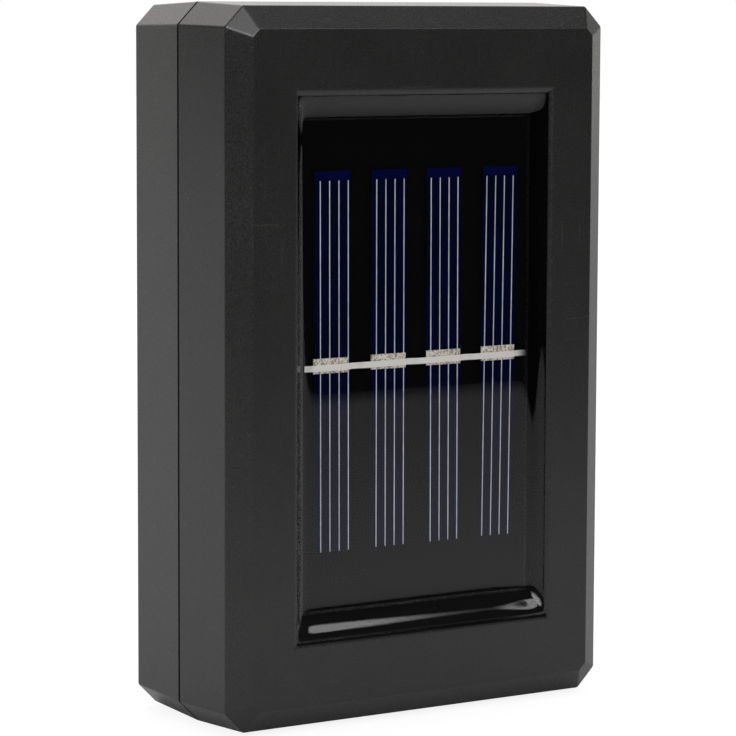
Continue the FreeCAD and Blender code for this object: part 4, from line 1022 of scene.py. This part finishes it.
@dataclass
class SolarPanel:
    """What is printed and soldered on the four silicon strips."""

    strip_pitch: float = 10.2
    strip_wide: float = 6.5
    strip_rise: float = 0.7
    tilts: tuple[float, ...] = (-0.25, -0.15, -0.2, 0.5)
    line_pitch: float = 1.665
    line_wide: float = 0.17
    line_high: float = 0.02
    line_shifts: tuple[float, ...] = (0.33, 0.23, 0.05, -0.03)
    line_span: tuple[float, float] = (-28.95, 27.55)
    line_grid: tuple[int, int] = (5, 90)
    line_uneven: tuple[float, float] = (0.12, 0.6)      # share of the width, and length of a swelling
    line_seed: int = 7
    line_proud: float = 0.002
    line_back: float = 0.01
    lines: int = 4
    pad_places: tuple[tuple[float, float], ...] = ((-15.59, 0.25), (-5.2, 0.38), (5.0, 0.45), (15.29, 0.55))
    pad_wide: float = 6.4
    pad_high: float = 2.3
    pad_thick: float = 0.2
    pad_grid: tuple[int, int] = (110, 46)
    pad_back: float = 0.02
    pad_least: float = 0.004
    pad_fall: float = 0.22
    notch_deep: float = 0.09
    notch_pitch: float = 0.82
    notch_from: float = 0.6             # of the way from the pad's middle to its edge
    ragged_deep: float = 0.1
    ragged_size: float = 0.35
    ragged_ends: float = 0.6            # how much of it the short ends have
    lump_sizes: tuple[float, float] = (0.42, 0.17)
    lump_highs: tuple[float, float] = (0.3, 0.18)
    top: tuple[float, float] = (0.8, 0.6)               # the top's mean height, and the lumps' share
    noise_steps: tuple[int, int, int] = (9, 5, 3)       # from pad to pad, so that no two are alike
    noise_seeds: tuple[int, int, int] = (21, 33, 34)
    ribbon_bed: tuple[float, float] = (0.66, 0.5)       # the mound is low within this far of the ribbon's line
    bed_sunk: float = 0.75
    ribbon_wide: float = 0.95
    ribbon_thick: float = 0.12
    ribbon_slope: float = 0.0085
    ribbon_z: float = 0.08
    ribbon_step: float = 1.1
    ribbon_inset: float = 0.3           # from a bend's end to the first strip's edge
    ribbon_grid: tuple[int, int] = (80, 16)
    ribbon_power: float = 1 / 3
    ribbon_passes: int = 3
    ribbon_wander: tuple[float, float, int] = (0.03, 1.9, 51)       # how much, length of a wave, and seed
    ribbon_uneven: tuple[float, float, int] = (0.04, 1.3, 52)
    tails: tuple[float, float] = (1.75, 2.4)
    under: float = 3.0

    def strip_x(self, index: int) -> float:
        """The middle of a strip, counted from the left."""
        return (index - (len(self.tilts) - 1) / 2) * self.strip_pitch

    def levels(self) -> tuple[float, float]:
        """The fronts of the board and of the strips."""
        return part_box("solar_board")[0].y / MM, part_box("solar_cell_1")[0].y / MM

    def silver_lines(self) -> bpy.types.Object:
        """Four printed lines on each strip: flat ridges whose height is 1 - s^2 across, with s from -1 to 1.

        Returns:
            The lines, all in one piece.
        """
        front_y = self.levels()[1]
        surfaces = Surfaces()
        across = np.linspace(-1, 1, self.line_grid[0])
        along = np.linspace(self.line_span[0], self.line_span[1], self.line_grid[1])
        swelling, length = self.line_uneven
        for index, tilt in enumerate(self.tilts):
            middle = self.strip_x(index)
            for line in range(self.lines):
                x = middle + self.line_shifts[index] + (line - (self.lines - 1) / 2) * self.line_pitch
                s, z = np.meshgrid(across, along, indexing="ij")
                uneven = value_noise(z, np.full_like(z, x), length, self.line_seed + line)
                wide = self.line_wide / 2 * (1 + swelling * uneven)
                front_of = front_y - self.line_high * (1 - s ** 2) - self.line_proud
                back_of = np.full_like(s, front_y + self.line_back)
                front, back = (np.stack([x + s * wide, y, self.strip_rise + z], axis=-1) for y in (front_of, back_of))
                turned = [tilted(grid, (middle, self.strip_rise), tilt) for grid in (front, back)]
                surfaces.slab(*turned)
        return surfaces.piece("silver_lines", SILVER_PRINT)

    def solder_pads(self) -> bpy.types.Object:
        """Rough mounds of solder: a plateau with ragged, notched long edges and a lumpy top.

        Height is thickness x edge fall x (1 + lumps): the fall is a smooth step over the outer quarter
        millimetre, measured from an outline that noise and a row of notches push in and out. Where the ribbon
        lies, a quarter of the height is left.

        Returns:
            The pads, all in one piece.
        """
        front_y = self.levels()[1]
        surfaces = Surfaces()
        for index, (middle_x, middle_z) in enumerate(self.pad_places):
            u, v = np.meshgrid(*(np.linspace(-1, 1, count) for count in self.pad_grid), indexing="ij")
            steps, seeds = [step * index for step in self.noise_steps], self.noise_seeds
            x, z = u * self.pad_wide / 2, v * self.pad_high / 2
            notch = self.notch_deep * np.sign(np.sin(2 * np.pi * x / self.notch_pitch + index))
            notch *= smooth_step(self.notch_from, 1.0, np.abs(v))
            ragged = self.ragged_deep * value_noise(x + steps[0], z, self.ragged_size, seeds[0])
            inset_z = self.pad_high / 2 - np.abs(z) + ragged + notch
            inset_x = self.pad_wide / 2 - np.abs(x) + self.ragged_ends * ragged
            fall = smooth_step(0.0, self.pad_fall, np.minimum(inset_z, inset_x))
            lumps = self.lump_highs[0] * value_noise(x + steps[1], z, self.lump_sizes[0], seeds[1])
            lumps += self.lump_highs[1] * value_noise(x, z + steps[2], self.lump_sizes[1], seeds[2])
            from_ribbon = middle_z + z - self.ribbon_z - self.ribbon_slope * (middle_x + x)
            below = smooth_step(*self.ribbon_bed, np.abs(from_ribbon))
            height = self.pad_thick * fall * (self.top[0] + self.top[1] * lumps) * (1 - self.bed_sunk * below)
            front = np.stack([middle_x + x, front_y - np.maximum(height, self.pad_least), middle_z + z], axis=-1)
            back = np.stack([middle_x + x, np.full_like(x, front_y + self.pad_back), middle_z + z], axis=-1)
            surfaces.slab(front, back)
        return surfaces.piece("solder_pads", FINISHES[Slot.SOLDER], ("solder_patches",))

    def ribbon_paths(self) -> list[list[tuple[float, float]]]:
        """Each ribbon's line as (x, y) of its back, from left to right, as the construction lays it.

        Returns:
            A list of points for each ribbon.
        """
        board_y, front_y = self.levels()
        half, last = self.strip_wide / 2, len(self.tilts) - 1
        first_edge = self.strip_x(0) - half
        bend_end = first_edge - self.ribbon_inset
        paths = [[(first_edge - self.tails[0], board_y), (bend_end - self.ribbon_step, board_y),
                  (bend_end, front_y), (self.strip_x(0) + half, front_y)]]
        for index in range(last):
            step_end = self.strip_x(index) + (self.strip_pitch + self.ribbon_step) / 2
            paths.append([(self.strip_x(index) + half - self.under, board_y), (step_end - self.ribbon_step, board_y),
                          (step_end, front_y), (self.strip_x(index + 1) + half, front_y)])
        edge = self.strip_x(last) + half
        paths.append([(edge - self.under, board_y), (edge + self.tails[1], board_y)])
        return paths

    def tin_ribbons(self) -> bpy.types.Object:
        """Flat ribbons: a lens-edged profile, half width w and half thickness t, carried along each path.

        The profile's points are w cos(a)^(1/3) across and t sin(a)^(1/3) through, with the signs kept; the
        path's height is the bends' straight line after three passes of a running mean.

        Returns:
            The ribbons, all in one piece.
        """
        stations, around = self.ribbon_grid
        angle = np.linspace(0, 2 * np.pi, around, endpoint=False) + np.pi / around
        across, through = (np.sign(wave) * np.abs(wave) ** self.ribbon_power
                           for wave in (np.cos(angle), np.sin(angle)))
        surfaces = Surfaces()
        for number, path in enumerate(self.ribbon_paths()):
            bends = np.array(path)
            x = np.linspace(bends[0, 0], bends[-1, 0], stations)
            y = np.interp(x, bends[:, 0], bends[:, 1])
            for _ in range(self.ribbon_passes):
                y[1:-1] = (y[:-2] + y[1:-1] + y[2:]) / 3
            wander, uneven = (share * value_noise(x, np.full_like(x, number), length, seed)
                              for share, length, seed in (self.ribbon_wander, self.ribbon_uneven))
            z = self.ribbon_z + self.ribbon_slope * x + wander
            wide = self.ribbon_wide / 2 * (1 + uneven)
            sections = np.stack([
                np.broadcast_to(x[:, None], (len(x), len(angle))),
                y[:, None] - self.ribbon_thick / 2 * (1 + through[None, :]),
                z[:, None] - wide[:, None] * across[None, :]], axis=-1)
            surfaces.sweep(sections)
        return surfaces.piece("tin_ribbons", FINISHES[Slot.TINNED], ("tab_ribbons",))


# --- The push switch ---------------------------------------------------------------------------------------
@dataclass
class ReturnSpring:
    """The round wire spring under the button, built at one length; the real spring shortens as the button goes in."""

    wire_radius: float = 0.22
    turns: float = 3.0
    stations: int = 145
    around: int = 12

    def build(self) -> bpy.types.Object:
        """Carries a round profile along a helix: x = r cos(a), z = r sin(a), and y grows evenly with the angle a.

        Returns:
            The spring.
        """
        low, high = (np.array(corner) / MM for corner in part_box("switch_spring"))
        middle = (low + high) / 2
        radius = (high[2] - low[2]) / 2 - self.wire_radius
        angle = np.linspace(0, 2 * np.pi * self.turns, self.stations)
        outward = np.stack([np.cos(angle), np.zeros_like(angle), np.sin(angle)], axis=-1)
        along = np.linspace(low[1] + self.wire_radius, high[1] - self.wire_radius, self.stations)
        line = middle * (1, 0, 1) + radius * outward + along[:, None] * (0, 1, 0)
        turn = np.linspace(0, 2 * np.pi, self.around, endpoint=False)[None, :, None]
        rings = np.cos(turn) * outward[:, None, :] - np.sin(turn) * np.array((0.0, 1.0, 0.0))
        surfaces = Surfaces()
        surfaces.sweep(line[:, None, :] + self.wire_radius * rings)
        spring = surfaces.piece("return_spring", FINISHES[Slot.SPRING], ("switch_spring",))
        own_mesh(spring)
        return spring


# --- Dressing the construction -----------------------------------------------------------------------------
@dataclass
class Construction:
    """The pieces that keep their shape and get a finish by their slot."""

    slots: dict[str, str] = field(default_factory=lambda: {
        part["node"]: part["material_slot"] for part in frame["record"]["subparts"]})

    def dress(self) -> None:
        """Gives every node its finish."""
        for name, node in frame["nodes"].items():
            finish = FINISHES[Slot(self.slots[name])]
            node.data.materials.clear()
            node.data.materials.append(finish.make())
            log.info("dressed %s in %s", name, finish.name)


# --- Studio and camera -------------------------------------------------------------------------------------
@dataclass
class Softbox:
    """A lit panel that reflections see, between two azimuths and two elevations in degrees, with soft edges."""

    azimuths: tuple[float, float]
    elevations: tuple[float, float]
    light: float
    soft: float = 1.5

    def lit(self, graph: Graph, level: Source, up: Source) -> Socket:
        """Its light towards a direction.

        Args:
            graph: The world's tree.
            level: The direction, flattened and of length 1.
            up: The direction's upward part.

        Returns:
            Its light inside the panel and 0 outside.
        """
        middle = math.radians(sum(self.azimuths) / 2)
        half = abs(self.azimuths[1] - self.azimuths[0]) / 2
        facing = graph.vector("DOT_PRODUCT", level, (math.cos(middle), math.sin(middle), 0.0))
        across = graph.ramp(facing, tuple(math.cos(math.radians(half + side * self.soft)) for side in (1, -1)))
        heights = [[math.sin(math.radians(edge + side * self.soft)) for side in (-1, 1)] for edge in self.elevations]
        above, over = (graph.ramp(up, tuple(span)) for span in heights)
        return graph.math("MULTIPLY", graph.math("MULTIPLY", across, graph.math("SUBTRACT", above, over)), self.light)


@dataclass
class Studio:
    """White backdrop behind and to the right, dark room in front with two softboxes, and a white table.

    Angles are degrees and the table's places metres. Reflections see this room; a viewer sees white, and matt
    surfaces an even light.
    """

    backdrop_middle: float = 60.75
    backdrop_half: float = 52.75
    backdrop_soft: float = 4.0
    backdrop_rise: float = 1.2
    backdrop_rise_from: tuple[float, float] = (8.0, 28.0)
    backdrop_colour: Colour = (1.12, 1.105, 1.07)
    room: float = 0.085
    below: float = 0.015
    horizon: tuple[float, float] = (-0.04, 0.0)
    overhead: float = 0.55
    overhead_from: tuple[float, float] = (40.0, 58.0)
    softboxes: tuple[Softbox, ...] = (Softbox((-100.0, -48.5), (28.5, 46.0), 4.2),
                                      Softbox((-125.0, -80.0), (13.0, 46.0), 6.0, 8.0))
    even_light: float = 1.1
    clear_gain: float = 1.7     # makes up for the light that a clear layer's inner reflections lose
    table_front: float = -0.391
    table_fade: float = 0.03
    table_near: float = 0.0
    table_back: float = 3.0
    table_half: float = 2.0
    # painted shade: greys of the front edge, the front and the near part, darker towards the front where less light
    # falls
    table_painted_shades: tuple[float, float, float] = (0.1, 0.38, 0.7)
    table_seen: float = 0.72
    table_whites: tuple[float, float] = (1.38, 1.2)
    table_down: float = 0.0001

    def build(self) -> None:
        """Makes the world and the table."""
        self.world()
        self.table()

    def world(self) -> None:
        """Directions decide what a reflection sees: backdrop by azimuth, overhead light by elevation."""
        world = bpy.data.worlds.new("studio")
        bpy.context.scene.world = world
        world.use_nodes = True
        world.node_tree.nodes.clear()
        world.cycles.sampling_method = "NONE"
        graph = Graph(world.node_tree)
        direction = graph.add("ShaderNodeTexCoord").outputs["Generated"]
        level = graph.vector("NORMALIZE", graph.scaled(direction, (1.0, 1.0, 0.0)))
        turn = math.radians(self.backdrop_middle)
        facing = graph.vector("DOT_PRODUCT", level, (math.cos(turn), math.sin(turn), 0.0))
        edges = [math.cos(math.radians(self.backdrop_half + side * self.backdrop_soft)) for side in (1, -1)]
        backdrop = graph.ramp(facing, (edges[0], edges[1]))
        up = graph.split(direction)[2]
        rise = graph.ramp(up, tuple(math.sin(math.radians(a)) for a in self.backdrop_rise_from))
        screen = graph.mix(rise, self.backdrop_colour, tuple(c * self.backdrop_rise for c in self.backdrop_colour))
        overhead = graph.ramp(up, tuple(math.sin(math.radians(a)) for a in self.overhead_from), (0.0, self.overhead))
        dark = graph.math("MAXIMUM", graph.ramp(up, self.horizon, (self.below, self.room)), overhead)
        for softbox in self.softboxes:
            dark = graph.math("MAXIMUM", dark, softbox.lit(graph, level, up))
        grey = graph.add("ShaderNodeCombineXYZ")
        for socket in grey.inputs:
            graph.feed(socket, dark)
        seen = graph.mix(backdrop, grey.outputs[0], screen)
        path = graph.add("ShaderNodeLightPath")
        scattered = graph.math("GREATER_THAN", path.outputs["Diffuse Depth"], 0.5)
        through = (self.even_light * self.clear_gain,) * 3
        even = graph.mix(path.outputs["Is Transmission Ray"], (self.even_light,) * 3, through)
        seen = graph.mix(scattered, seen, even)
        seen = graph.mix(path.outputs["Is Camera Ray"], seen, (1.0, 1.0, 1.0))
        background = graph.add("ShaderNodeBackground")
        graph.feed(background.inputs["Color"], seen)
        output = graph.add("ShaderNodeOutputWorld")
        graph.feed(output.inputs["Surface"], background.outputs[0])

    def table(self) -> None:
        """A matt pale table top, with painted shade that darkens it towards its front and more at its front edge,
        where less light falls; the viewer sees it nearly white, with a faint shadow.
        """
        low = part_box("front_shell")[0].z - self.table_down
        half, front, back = self.table_half, self.table_front, self.table_back
        corners = [(-half, front, low), (half, front, low), (half, back, low), (-half, back, low)]
        mesh = bpy.data.meshes.new("table_top")
        mesh.from_pydata(corners, [], [(0, 1, 2, 3)])
        top = bpy.data.objects.new("table_top", mesh)
        bpy.context.scene.collection.objects.link(top)
        material = bpy.data.materials.new("table white")
        material.use_nodes = True
        material.node_tree.nodes.clear()
        graph = Graph(material.node_tree)
        matt = graph.add("ShaderNodeBsdfDiffuse")
        depth = graph.split(graph.add("ShaderNodeTexCoord").outputs["Object"])[1]
        # painted shade: the table's grey falls towards its front and its front edge
        edge, far, near = ((tone,) * 3 for tone in self.table_painted_shades)
        tone = graph.mix(graph.ramp(depth, (front, self.table_near)), far, near)
        faded = graph.ramp(depth, (front, front + self.table_fade))
        graph.feed(matt.inputs["Color"], graph.mix(faded, edge, tone))
        white = graph.add("ShaderNodeEmission")
        graph.feed(white.inputs["Strength"], graph.ramp(depth, (front, self.table_near), self.table_whites))
        share = graph.math("MULTIPLY", graph.add("ShaderNodeLightPath").outputs["Is Camera Ray"], self.table_seen)
        mixed = graph.add("ShaderNodeMixShader")
        graph.feed(mixed.inputs[0], share)
        graph.feed(mixed.inputs[1], matt.outputs[0])
        graph.feed(mixed.inputs[2], white.outputs[0])
        output = graph.add("ShaderNodeOutputMaterial")
        graph.feed(output.inputs["Surface"], mixed.outputs[0])
        mesh.materials.append(material)


@dataclass
class Viewpoint:
    """The photograph's camera, fitted to the casing's corners. Angles are degrees."""

    place_mm: tuple[float, float, float] = (-281.4, -444.9, 54.9)
    yaw: float = 33.120
    pitch_down: float = 6.337
    roll: float = 0.237
    focal_px: float = 3288.9
    picture_px: float = 736.0
    sensor_mm: float = 36.0
    near_clip: float = 0.01

    def build(self) -> None:
        """Makes the camera and makes it the scene's own."""
        yaw, pitch, roll = (math.radians(angle) for angle in (self.yaw, self.pitch_down, self.roll))
        forward = Vector((math.sin(yaw) * math.cos(pitch), math.cos(yaw) * math.cos(pitch), -math.sin(pitch)))
        right = Vector((math.cos(yaw), -math.sin(yaw), 0.0))
        up = right.cross(forward)
        turned_right = math.cos(roll) * right + math.sin(roll) * up
        turned_up = -math.sin(roll) * right + math.cos(roll) * up
        data = bpy.data.cameras.new("viewpoint")
        data.sensor_width = self.sensor_mm
        data.lens = self.focal_px * self.sensor_mm / self.picture_px
        data.clip_start = self.near_clip
        camera = bpy.data.objects.new("viewpoint", data)
        bpy.context.scene.collection.objects.link(camera)
        turn = Matrix((turned_right, turned_up, -forward)).transposed().to_4x4()
        camera.matrix_world = Matrix.Translation(Vector(self.place_mm) * MM) @ turn
        bpy.context.scene.camera = camera


def main() -> None:
    """Builds the viewpoint, the pieces, their finishes and the studio."""
    logging.basicConfig(level=logging.INFO, format="%(name)s: %(message)s")
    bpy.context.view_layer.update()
    bpy.context.scene.view_settings.view_transform = "Standard"
    Viewpoint().build()
    Construction().dress()
    CastResin().build()
    panel = SolarPanel()
    panel.silver_lines()
    panel.solder_pads()
    panel.tin_ribbons()
    ReturnSpring().build()
    Studio().build()


if __name__ == "__main__":
    main()
